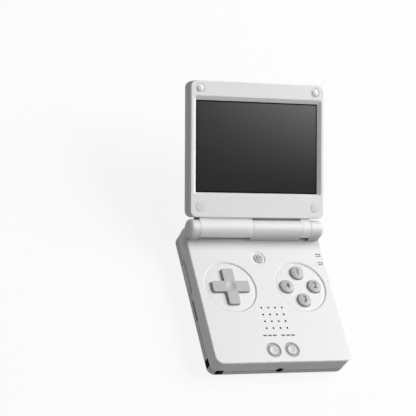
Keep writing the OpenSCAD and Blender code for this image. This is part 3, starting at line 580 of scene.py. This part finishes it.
screw_recipe, turning, spot = recipe("screw", ("Head radius", "Head height", "Shank radius", "Length"))
head_up = spot.other("Head height")
head = turning.node(
    "GeometryNodeMeshCylinder", {}, {"Vertices": 32, "Radius": spot.other("Head radius"), "Depth": head_up}
)
shank = turning.node(
    "GeometryNodeMeshCylinder", {},
    {"Vertices": 20, "Radius": spot.other("Shank radius"), "Depth": spot.other("Length")},
)
cross_length = spot.other("Head radius") * 1.1
cross_width = spot.other("Head radius") * 0.24
arm_along = turning.node("ShaderNodeCombineXYZ", {}, {"X": cross_length, "Y": cross_width, "Z": head_up})
arm_across = turning.node("ShaderNodeCombineXYZ", {}, {"X": cross_width, "Y": cross_length, "Z": head_up})
recess = joined(
    turning,
    turning.node("GeometryNodeMeshCube", {}, {"Size": arm_along}),
    turning.node("GeometryNodeMeshCube", {}, {"Size": arm_across}),
)
slotted = turning.node(
    "GeometryNodeMeshBoolean", {"operation": "DIFFERENCE"},
    {"Mesh 1": raised(turning, head, head_up * -0.5), "Mesh 2": recess},
)
stem = raised(turning, shank, head_up * -0.9 - spot.other("Length") * 0.5)
repeated(turning, spot, joined(turning, slotted, stem))


def steel(name, level):
    """Bright steel with the fine marks that turning and handling leave."""
    brushed = 0.3 * mm
    material, tree, place = finish_tree(name)
    lines = tree.node("ShaderNodeTexNoise", {}, {"Vector": place, "Scale": 1 / brushed, "Detail": 4})
    stains = tree.node("ShaderNodeTexNoise", {}, {"Vector": place, "Scale": 1 / (6 * mm), "Detail": 2})
    colour = tree.blend(stains, grey(level - 14), grey(level + 8))
    surfaced(tree, lines, 0.004 * mm, base_color=colour, roughness=0.22 + lines * 0.2, metallic=1.0)
    return material


screw_steel = steel("screw_steel", 188)
face_down = Matrix.Rotation(math.pi, 4, "X")


def middles(node):
    """The middle of each separate solid of a CAD node, found from its merged mesh."""
    shape = bmesh.new()
    shape.from_mesh(frame["nodes"][node].data)
    bmesh.ops.remove_doubles(shape, verts=shape.verts, dist=same_point)
    left = set(shape.verts)
    boxes = []
    while left:
        group = [left.pop()]
        for vertex in group:
            for edge in vertex.link_edges:
                far = edge.other_vert(vertex)
                if far in left:
                    left.remove(far)
                    group.append(far)
        low = Vector(min(v.co[axis] for v in group) for axis in range(3))
        high = Vector(max(v.co[axis] for v in group) for axis in range(3))
        boxes.append(((low + high) / 2, low, high))
    shape.free()
    return sorted(boxes, key=lambda box: tuple(round(value, 5) for value in box[0]))


def downward_points(node):
    """Where the underside of each solid of a node is, seen by a recipe that is turned over."""
    return [face_down @ Vector((middle.x, middle.y, low.z)) for middle, low, high in middles(node)]


for screw_node, screw_radius, screw_head, screw_thread in (
    ("base_screws", 2.4, 1.3, 1.0),
    ("board_screws", 1.7, 0.9, 0.8),
):
    low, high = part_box(screw_node)
    screws = made_at(
        screw_recipe, screw_node.rstrip("s") + "_set", downward_points(screw_node), screw_steel, face_down,
        head_radius=screw_radius * mm, head_height=screw_head * mm, shank_radius=screw_thread * mm,
        length=high.z - low.z - screw_head * 0.9 * mm,
    )
    finished(smoothed(screws, 30), screw_steel, "base", "steel", screw_node)


# Foot caps
# Black rubber caps pressed into the screw wells of the tray. Each has a rounded rim
# and a shallow pit in its middle, where the moulding was gated.
cap_recipe, pressing, well = recipe("cap", ("Radius", "Height", "Rim", "Pit"))


def upper_face(tree):
    """Picks the faces that look straight up."""
    facing = tree.node("ShaderNodeSeparateXYZ", {}, {"Vector": tree.node("GeometryNodeInputNormal")}, "Z")
    return facing > 0.99


def grown(tree, mesh, top, rise, scale):
    """The mesh with its top face drawn up by a rise and scaled, and the new top face."""
    way = tree.node("ShaderNodeCombineXYZ", {}, {"Z": rise})
    drawn = tree.node(
        "GeometryNodeExtrudeMesh", {}, {"Mesh": mesh, "Selection": top, "Offset": way, "Offset Scale": 1.0}
    )
    new_top = drawn.other("Top")
    scaled = tree.node(
        "GeometryNodeScaleElements", {}, {"Geometry": drawn, "Selection": new_top, "Scale": scale}
    )
    return scaled, new_top


rim = well.other("Rim")
cap_radius = well.other("Radius")
barrel = pressing.node(
    "GeometryNodeMeshCylinder", {},
    {"Vertices": 48, "Radius": cap_radius, "Depth": well.other("Height") - rim},
)
cap_body = raised(pressing, barrel, well.other("Height") * -0.5 - rim * 0.5)
shoulder_radius = cap_radius - rim * 0.35
cap_body, cap_top = grown(
    pressing, cap_body, upper_face(pressing), rim * 0.65, shoulder_radius / cap_radius
)
cap_body, cap_top = grown(
    pressing, cap_body, cap_top, rim * 0.35, (cap_radius - rim) / shoulder_radius
)
cap_body, cap_top = grown(pressing, cap_body, cap_top, 0.0, 0.55)
cap_body, cap_top = grown(pressing, cap_body, cap_top, well.other("Pit") * -1.0, 0.85)
repeated(pressing, well, cap_body)

cap_wide = 2.85 * mm
rubber = moulded("cap_rubber", 30, 0.62, grain=0.4 * mm, spread=6)
foot_caps = made_at(
    cap_recipe, "foot_caps_set", downward_points("foot_caps"), rubber, face_down,
    radius=cap_wide, height=1.6 * mm, rim=0.35 * mm, pit=0.3 * mm,
)
finished(smoothed(foot_caps, 30), rubber, "base", "cap", "foot_caps")


# Direction pad
# One ABS cross with rounded edges and a dimple in its middle, tilting on a disc over
# four rubber domes.
key_plastic = moulded("key_plastic", 196, 0.42, grain=0.3 * mm)
pad = with_round_edges(closed_copy("dpad", "direction_pad"), 0.7 * mm, 4)
finished(smoothed(pad), key_plastic, "dpad", "button", "dpad")


# Face buttons
# Four domed ABS buttons, each with a plain number engraved in its top and filled
# with a darker paint.
def struck(name, figure, size, at, depth, material):
    """A cutter in the form of a figure, standing through the surface at a place."""
    letters = bpy.data.curves.new(name, "FONT")
    letters.body = figure
    letters.size = size
    letters.align_x = "CENTER"
    letters.align_y = "CENTER"
    letters.extrude = depth
    drawn = bpy.data.objects.new(name, letters)
    scene.collection.objects.link(drawn)
    graph = bpy.context.evaluated_depsgraph_get()
    mesh = bpy.data.meshes.new_from_object(drawn.evaluated_get(graph), depsgraph=graph)
    bpy.data.objects.remove(drawn)
    shape = bmesh.new()
    shape.from_mesh(mesh)
    bmesh.ops.remove_doubles(shape, verts=shape.verts, dist=0.002 * mm)
    middle = sum((v.co for v in shape.verts), Vector()) / len(shape.verts)
    low = min(v.co.x for v in shape.verts)
    high = max(v.co.x for v in shape.verts)
    way = Vector(at) - Vector(((low + high) / 2, 0, middle.z))
    bmesh.ops.translate(shape, verts=shape.verts, vec=way)
    shape.to_mesh(mesh)
    shape.free()
    mesh.materials.clear()
    mesh.materials.append(material)
    cutter = bpy.data.objects.new(name, mesh)
    scene.collection.objects.link(cutter)
    return cutter


mark_paint = moulded("mark_paint", 74, 0.6)
for side, figure in (("top", "1"), ("right", "2"), ("bottom", "3"), ("left", "4")):
    node = "face_button_" + side
    low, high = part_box(node)
    button = with_round_edges(closed_copy(node, "key_" + side), 0.7 * mm, 4)
    button.data.materials.append(key_plastic)
    centre = ((low.x + high.x) / 2, (low.y + high.y) / 2, high.z)
    cut_with(button, struck("figure", figure, 5.6 * mm, centre, 0.22 * mm, mark_paint))
    finished(smoothed(button), key_plastic, node, "button", node)


# Menu button
# A smaller button in its own dish, with a plain ring engraved round a dot.
low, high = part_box("menu_button")
menu_top = ((low.x + high.x) / 2, (low.y + high.y) / 2, high.z)
menu_key = with_round_edges(closed_copy("menu_button", "menu_key"), 0.3 * mm)
menu_plastic = moulded("menu_plastic", 212, 0.42, grain=0.3 * mm)
menu_ink = moulded("menu_ink", 120, 0.6)
menu_key.data.materials.append(menu_plastic)
cut_with(menu_key, turned("ring_cutter", band(1.35, 1.65, -0.22, 0.2), menu_top, menu_ink))
cut_with(menu_key, turned("dot_cutter", band(0, 0.42, -0.18, 0.2), menu_top, menu_ink, 24))
finished(smoothed(menu_key), menu_plastic, "menu_button", "button", "menu_button")


# Lower buttons
# Two small buttons whose tops are hollowed to a finger tip, so that each shows a
# raised ring round a shallow dish.
lower_plastic = moulded("lower_plastic", 226, 0.4, grain=0.3 * mm)
lens_wide = 2.25 * mm
lens_deep = 0.34 * mm
lens_sphere = (lens_wide ** 2 + lens_deep ** 2) / (2 * lens_deep)
lens_rim = lens_wide * 1.3
lens_top = 0.6 * mm
lens_steps = 8
lens_cut = [(0, -lens_deep)]
for step in range(1, lens_steps + 1):
    reach = lens_rim * step / lens_steps
    lens_cut.append((reach, lens_sphere - lens_deep - math.sqrt(lens_sphere ** 2 - reach ** 2)))
lens_cut += [(lens_rim, lens_top), (0, lens_top)]
for node, name in (("select_button", "lower_key_left"), ("start_button", "lower_key_right")):
    low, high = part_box(node)
    at = ((low.x + high.x) / 2, (low.y + high.y) / 2, high.z - 0.08 * mm)
    key = with_round_edges(closed_copy(node, name), 0.2 * mm)
    key.data.materials.append(lower_plastic)
    cut_with(key, turned("lens_cutter", lens_cut, at, lower_plastic, 64))
    finished(smoothed(key, 30), lower_plastic, node, "button", node)


# Marks on the deck
# Plain dashes printed with grey ink over the lower buttons and beside the two light
# guides. They carry no words.
def printed(name, bars, top, material):
    """Flat bars of ink with round ends, each from its middle, length and width."""
    thick = 0.03 * mm
    shape = bmesh.new()
    for x, y, length, width in bars:
        half = max(length, width) / 2 - min(length, width) / 2
        outline = []
        for step in range(16):
            angle = 2 * math.pi * (step + 0.5) / 16
            along = math.copysign(half, math.cos(angle)) + math.cos(angle) * min(length, width) / 2
            across = math.sin(angle) * min(length, width) / 2
            flat = (along, across) if length >= width else (-across, along)
            outline.append(shape.verts.new((x + flat[0], y + flat[1], top + thick)))
        face = shape.faces.new(outline)
        drawn = bmesh.ops.extrude_face_region(shape, geom=[face])
        moved = [v for v in drawn["geom"] if isinstance(v, bmesh.types.BMVert)]
        bmesh.ops.translate(shape, verts=moved, vec=(0, 0, -2 * thick))
    bmesh.ops.recalc_face_normals(shape, faces=shape.faces)
    return placed(shape, name, material)


deck_ink = moulded("deck_ink", 104, 0.6)
dashes = []
for middle in (-5.8, 5.8):
    for place in (-1, 0, 1):
        dashes.append(((middle + place * 3.1) * mm, -27.8 * mm, 2.5 * mm, 0.95 * mm))
for along in (24.9, 19.2):
    for place in (-0.7, 0.7):
        dashes.append((39.3 * mm, (along + place) * mm, 2.2 * mm, 0.6 * mm))
deck_marks = printed("deck_marks", dashes, deck_top, deck_ink)
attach(deck_marks, "base")


# Shoulder buttons and triggers
# Keys of the same plastic as the face buttons, sprayed in the deck shell's silver paint, at the rear
# corners, reached from behind.
# The shoulder buttons swing on steel pins and the triggers slide.
for side in ("left", "right"):
    shoulder = with_round_edges(closed_copy("shoulder_" + side, "shoulder_key_" + side), 0.45 * mm, 3)
    finished(smoothed(shoulder), shell_paint, "shoulder_" + side, "button", "shoulder_" + side)
    trigger = with_round_edges(closed_copy("trigger_" + side, "trigger_key_" + side), 0.45 * mm, 3)
    finished(smoothed(trigger), shell_paint, "trigger_" + side, "button", "trigger_" + side)


# Side keys
# The long volume rocker on the left wall has a plus and a minus engraved at its ends.
# The power and reset keys on the right wall are plain.
side_paint = silver_paint("side_key_paint", 226)


def box_cutter(name, low, high, material):
    """A block between two corners, to cut with."""
    shape = bmesh.new()
    bmesh.ops.create_cube(shape, size=1)
    for v in shape.verts:
        v.co = Vector(low[a] if v.co[a] < 0 else high[a] for a in range(3))
    return placed(shape, name, material)


rocker = with_round_edges(closed_copy("volume_rocker", "volume_key"), 0.22 * mm)
rocker.data.materials.append(side_paint)
low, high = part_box("volume_rocker")
sign_deep = 0.16 * mm
sign_half = 1.0 * mm
stroke = 0.23 * mm
sign_up = (low.z + high.z) / 2
for end, upright in ((high.y - 2.4 * mm, True), (low.y + 2.4 * mm, False)):
    strokes = [(sign_half, stroke)] + ([(stroke, sign_half)] if upright else [])
    for reach_y, reach_z in strokes:
        near = (low.x - mm, end - reach_y, sign_up - reach_z)
        far = (low.x + sign_deep, end + reach_y, sign_up + reach_z)
        cut_with(rocker, box_cutter("sign", near, far, mark_paint))
finished(smoothed(rocker), side_paint, "volume_rocker", "button", "volume_rocker")

for node in ("power_button", "reset_button"):
    key = with_round_edges(closed_copy(node, node.replace("button", "key")), 0.22 * mm)
    finished(smoothed(key), side_paint, node, "button", node)


# Light guides
# Two slips of clear, slightly milky polycarbonate that carry the board's lamps to the
# right edge of the deck.
guide_plastic = moulded("guide_plastic", 176, 0.25, subsurface=0.4)
guides = with_round_edges(closed_copy("light_pipes", "light_guides"), 0.1 * mm)
finished(smoothed(guides), guide_plastic, "base", "light_pipe", "light_pipes")


# Ports
# Steel sockets for charging, video and two memory cards, and a black headphone jack.
# Gold-plated contacts lie in rows on the tongues.
socket_steel = steel("socket_steel", 120)
for node in ("usb_socket", "video_socket", "card_socket_left", "card_socket_right"):
    socket = with_round_edges(closed_copy(node, node.replace("socket", "receptacle")), 0.12 * mm)
    finished(smoothed(socket), socket_steel, "base", "socket", node)
jack_plastic = moulded("jack_plastic", 34, 0.45)
jack = with_round_edges(closed_copy("audio_jack", "headphone_jack"), 0.15 * mm)
finished(smoothed(jack), jack_plastic, "base", "socket", "audio_jack")

contact_recipe, plating, row = recipe("contact", ("Width", "Length", "Thickness"))
strip_size = plating.node(
    "ShaderNodeCombineXYZ", {},
    {"X": row.other("Width"), "Y": row.other("Length"), "Z": row.other("Thickness")},
)
repeated(plating, row, plating.node("GeometryNodeMeshCube", {}, {"Size": strip_size}))


def gold(name):
    """Thin gold plating over nickel, slightly worn."""
    material, tree, place = finish_tree(name)
    wear = tree.node("ShaderNodeTexNoise", {}, {"Vector": place, "Scale": 1 / (0.5 * mm), "Detail": 3})
    colour = tree.blend(wear, grey(205, (1.0, 0.72, 0.3)), grey(225, (1.0, 0.8, 0.42)))
    surfaced(tree, wear, 0.003 * mm, base_color=colour, roughness=0.25 + wear * 0.15, metallic=1.0)
    return material


contact_gold = gold("contact_gold")
contacts = []
for middle, count, pitch in ((-9.9, 6, 1.0), (6.95, 9, 0.85)):
    for place in range(count):
        contacts.append(((middle + (place - (count - 1) / 2) * pitch) * mm, 39.3 * mm, 5.8 * mm))
contact_rows = made_at(
    contact_recipe, "contact_rows", contacts, contact_gold,
    width=0.4 * mm, length=4.6 * mm, thickness=0.78 * mm,
)
contact_rows.data.materials[0] = contact_gold
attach(contact_rows, "base")


# Lid
# A painted front bezel and back cover, screwed together round the screen. They turn
# on the hinge, and everything on them is placed as the lid lies closed, then opened.
opened = Matrix.Rotation(math.radians(hinge["range_deg"][0]), 4, "X")
on_lid = Matrix.Translation(hinge["pos_m"]) @ opened
outwards = (on_lid.to_3x3() @ Vector((0, 0, 1))).normalized()
bezel = with_round_edges(closed_copy("lid_bezel", "front_bezel"), 0.16 * mm)
finished(smoothed(bezel), lid_paint, "lid", "shell", "lid_bezel")
cover = with_round_edges(closed_copy("lid_back_cover", "back_cover"), 0.16 * mm)
cover.data.materials.append(lid_paint)
lid_seam_shadow = moulded("lid_seam_shadow", 120, 0.8)
lid_half = (43.325 * mm, 39.2 * mm)
lid_seam_deep = 0.35 * mm
lid_corner = 3.8 * mm
lid_seam = seam_ring(
    "lid_seam_cutter", [half + mm for half in lid_half], [half - lid_seam_deep for half in lid_half],
    lid_corner - lid_seam_deep, -0.75 * mm, -0.5 * mm,
)
lid_seam.data.transform(on_lid @ Matrix.Translation((0, -45.4 * mm, 0)))
lid_seam.data.materials.append(lid_seam_shadow)
cut_with(cover, lid_seam)
cover.data.materials.append(joint_shadow)
left_joint, right_joint, knuckle_reach = -36.7, 34.6, 5.4 * mm
for face in cover.data.polygons:
    from_axis = math.hypot(face.center.y - hinge_y, face.center.z - hinge_z)
    x = face.center.x / mm
    at_joint = min(abs(x - left_joint), abs(x - right_joint)) < joint_reach
    if at_joint and from_axis < knuckle_reach and abs(face.normal.x) > 0.3:
        face.material_index = len(cover.data.materials) - 1
finished(smoothed(cover), lid_paint, "lid", "shell", "lid_back_cover")


# Screen
# Toughened cover glass, printed black round the picture from behind. It lies in the
# bezel, 1.6 mm below its face, over the display panel. It is lighter towards its top
# right: that is colour, in place of the room that such a glass reflects.
glass_size = (78.5 * mm, 52.8 * mm)
glass_middle = 47 * mm
picture_size = (73.4 / 78.5, 49.4 / 52.8)
glass = with_round_edges(closed_copy("screen_glass", "cover_glass"), 0.12 * mm)
from_lid = on_lid.inverted()
glass_map = glass.data.uv_layers.new(name="glass")
for loop in glass.data.loops:
    flat = from_lid @ glass.data.vertices[loop.vertex_index].co
    along_glass = 0.5 - (flat.y + glass_middle) / glass_size[1]
    glass_map.data[loop.index].uv = (flat.x / glass_size[0] + 0.5, along_glass)
glass_finish, pane, place = finish_tree("cover_glass")
chart = pane.node("ShaderNodeUVMap", {"uv_map": "glass"})
across = pane.node("ShaderNodeSeparateXYZ", {}, {"Vector": chart}, "X")
along = across.other("Y")
picture = ((across - 0.5).math("ABSOLUTE") < picture_size[0] / 2) * (
    (along - 0.5).math("ABSOLUTE") < picture_size[1] / 2
)
haze = pane.node("ShaderNodeTexNoise", {}, {"Vector": place, "Scale": 1 / (22 * mm), "Detail": 2})
picture_tone = pane.blend(haze, grey(18), grey(24))
bloom = along.math("MAXIMUM", 0.0).math("POWER", 1.7) * (across * 0.78 + 0.22)
inner_edge = ((across - 0.5).math("ABSOLUTE") < 0.4925) * ((along - 0.5).math("ABSOLUTE") < 0.4885)
print_tone = pane.blend(picture, grey(16), picture_tone)
pane_colour = pane.blend(inner_edge, grey(8), pane.blend(bloom, print_tone, grey(112)))
surfaced(
    pane, haze, 0.002 * mm, base_color=pane_colour, roughness=0.2 + haze * 0.05,
    specular_ior_level=0.0, coat_weight=inner_edge, coat_roughness=0.2, coat_ior=1.36,
)
finished(smoothed(glass), glass_finish, "lid", "glass", "screen_glass")


# Bumpers and lid caps
# Two soft white bumpers stand out of the bezel's far corners and meet the deck when
# the lid is shut. Flush caps cover the screws near the hinge.
bumper_recipe, forming, seat = recipe("bumper", ("Radius", "Height", "Groove", "Dome"))
bumper_radius = seat.other("Radius")
post = forming.node(
    "GeometryNodeMeshCylinder", {},
    {"Vertices": 48, "Radius": bumper_radius, "Depth": seat.other("Height")},
)
bumper = raised(forming, post, seat.other("Height") * -0.5)
bumper, bumper_top = grown(forming, bumper, upper_face(forming), 0.0, 0.93)
bumper, bumper_top = grown(forming, bumper, bumper_top, seat.other("Groove") * -1.0, 0.98)
bumper, bumper_top = grown(forming, bumper, bumper_top, 0.0, 0.86)
dome_steps = 7
for step in range(dome_steps):
    angle = math.pi / 2 * step / dome_steps
    further = math.pi / 2 * (step + 1) / dome_steps
    rise = math.sin(further) - math.sin(angle)
    shrink = math.cos(further) / math.cos(angle) if step < dome_steps - 1 else 0.02
    lift = (seat.other("Dome") + seat.other("Groove")) * rise
    bumper, bumper_top = grown(forming, bumper, bumper_top, lift, shrink)
repeated(forming, seat, bumper)

bumper_plastic = moulded("bumper_plastic", 250, 0.5, grain=0.6 * mm, spread=3)
cap_plastic = moulded("cap_plastic", 236, 0.5, grain=0.6 * mm, spread=3)
lid_front = -4.2 * mm
lid_cap_places = {}
for node in ("lid_bumpers", "lid_screw_caps"):
    lid_cap_places[node] = []
    for middle, low, high in middles(node):
        flat = from_lid @ middle
        lid_cap_places[node].append(face_down @ Vector((flat.x, flat.y, lid_front)))
lid_bumpers = made_at(
    bumper_recipe, "bumper_pair", lid_cap_places["lid_bumpers"], bumper_plastic, on_lid @ face_down,
    radius=cap_wide, height=0.9 * mm, groove=0.3 * mm, dome=0.62 * mm,
)
finished(smoothed(lid_bumpers, 30), bumper_plastic, "lid", "bumper", "lid_bumpers")
lid_caps = made_at(
    cap_recipe, "lid_cap_pair", lid_cap_places["lid_screw_caps"], cap_plastic, on_lid @ face_down,
    radius=cap_wide, height=0.9 * mm, rim=0.07 * mm, pit=0.02 * mm,
)
finished(smoothed(lid_caps, 30), cap_plastic, "lid", "bumper", "lid_screw_caps")

lid_screw_places = []
for middle, low, high in middles("lid_screws"):
    flat = from_lid @ middle
    lid_screw_places.append(face_down @ Vector((flat.x, flat.y, lid_front + 1.0 * mm)))
lid_screw_set = made_at(
    screw_recipe, "lid_screw_set", lid_screw_places, screw_steel, on_lid @ face_down,
    head_radius=1.8 * mm, head_height=0.85 * mm, shank_radius=0.95 * mm, length=5.6 * mm,
)
finished(smoothed(lid_screw_set, 30), screw_steel, "lid", "steel", "lid_screws")


# Badge plate
# A pill-shaped metal plate let into the back cover. Its place for a name is left bare:
# a bright rim round a dark, satin field.
badge_metal = steel("badge_rim", 150)
badge_field = moulded("badge_field", 52, 0.4, grain=0.2 * mm)
badge = with_round_edges(closed_copy("badge_plate", "badge"), 0.15 * mm)
badge.data.materials.append(badge_metal)
badge.data.materials.append(badge_field)
plate = bmesh.new()
plate.from_mesh(badge.data)
front = max((f for f in plate.faces if f.normal.dot(outwards) > 0.99), key=lambda f: f.calc_area())
bmesh.ops.inset_region(plate, faces=[front], thickness=0.55 * mm, depth=0)
bmesh.ops.inset_region(plate, faces=[front], thickness=0.12 * mm, depth=-0.2 * mm)
front.material_index = 1
plate.to_mesh(badge.data)
plate.free()
finished(smoothed(badge), badge_metal, "lid", "badge", "badge_plate")


# Inner pieces
# What the shells hide keeps its CAD form: the board, the battery, rubber sheets,
# springs, pins and the display, each in the finish of its own material.
def circuit_board(name):
    """Green solder mask over copper tracks and pads."""
    material, tree, place = finish_tree(name)
    cells = tree.node(
        "ShaderNodeTexVoronoi", {"feature": "DISTANCE_TO_EDGE"}, {"Vector": place, "Scale": 1 / (2.2 * mm)}
    )
    tracks = cells < 0.06
    pads = tree.node("ShaderNodeTexVoronoi", {}, {"Vector": place, "Scale": 1 / (3.1 * mm)}) < 0.13
    mask = tree.blend(tracks, grey(62, (0.2, 1.0, 0.45)), grey(86, (0.25, 1.0, 0.5)))
    colour = tree.blend(pads, mask, grey(190, (1.0, 0.8, 0.45)))
    surfaced(tree, tracks + pads, 0.02 * mm, base_color=colour, roughness=0.4 - pads * 0.15, metallic=pads)
    return material


def polyimide(name):
    """Amber film over copper lines, as on a ribbon cable."""
    material, tree, place = finish_tree(name)
    lines = tree.node(
        "ShaderNodeTexWave", {"bands_direction": "X"},
        {"Vector": place, "Scale": 1 / (3.2 * mm), "Distortion": 0},
    )
    colour = tree.blend(lines, grey(120, (1.0, 0.5, 0.12)), grey(170, (1.0, 0.62, 0.2)))
    surfaced(tree, lines, 0.01 * mm, base_color=colour, roughness=0.3 + lines * 0.1)
    return material


inner_rubber = moulded("sheet_rubber", 150, 0.6, subsurface=0.2)
inner_finishes = (
    (circuit_board("circuit_board"), ["main_board"]),
    (moulded("cell_wrap", 60, 0.4, tint=(0.8, 0.9, 1.1)), ["battery"]),
    (moulded("lead_silicone", 150, 0.5, tint=(1.0, 0.12, 0.1)), ["battery_lead"]),
    (moulded("cone_paper", 44, 0.8, grain=0.5 * mm, depth=0.04 * mm), ["speaker"]),
    (moulded("gasket_foam", 26, 0.9, grain=0.3 * mm, depth=0.06 * mm), ["speaker_gasket"]),
    (inner_rubber, ["dpad_membrane", "face_membrane", "small_membranes"]),
    (moulded("pivot_plastic", 90, 0.5), ["dpad_pivot"]),
    (moulded("switch_plastic", 40, 0.5), ["shoulder_switches", "side_switches"]),
    (
        steel("pin_steel", 196),
        ["shoulder_pins", "shoulder_springs", "hinge_pins", "hinge_cartridge", "hinge_cam", "lid_magnet"],
    ),
    (polyimide("ribbon"), ["display_flex_base", "display_flex_lid"]),
    (moulded("panel_back", 70, 0.35, grain=1.2 * mm), ["display_panel"]),
)
for material, nodes in inner_finishes:
    for node in nodes:
        carried = frame["nodes"][node]
        carried.data.materials.clear()
        carried.data.materials.append(material)
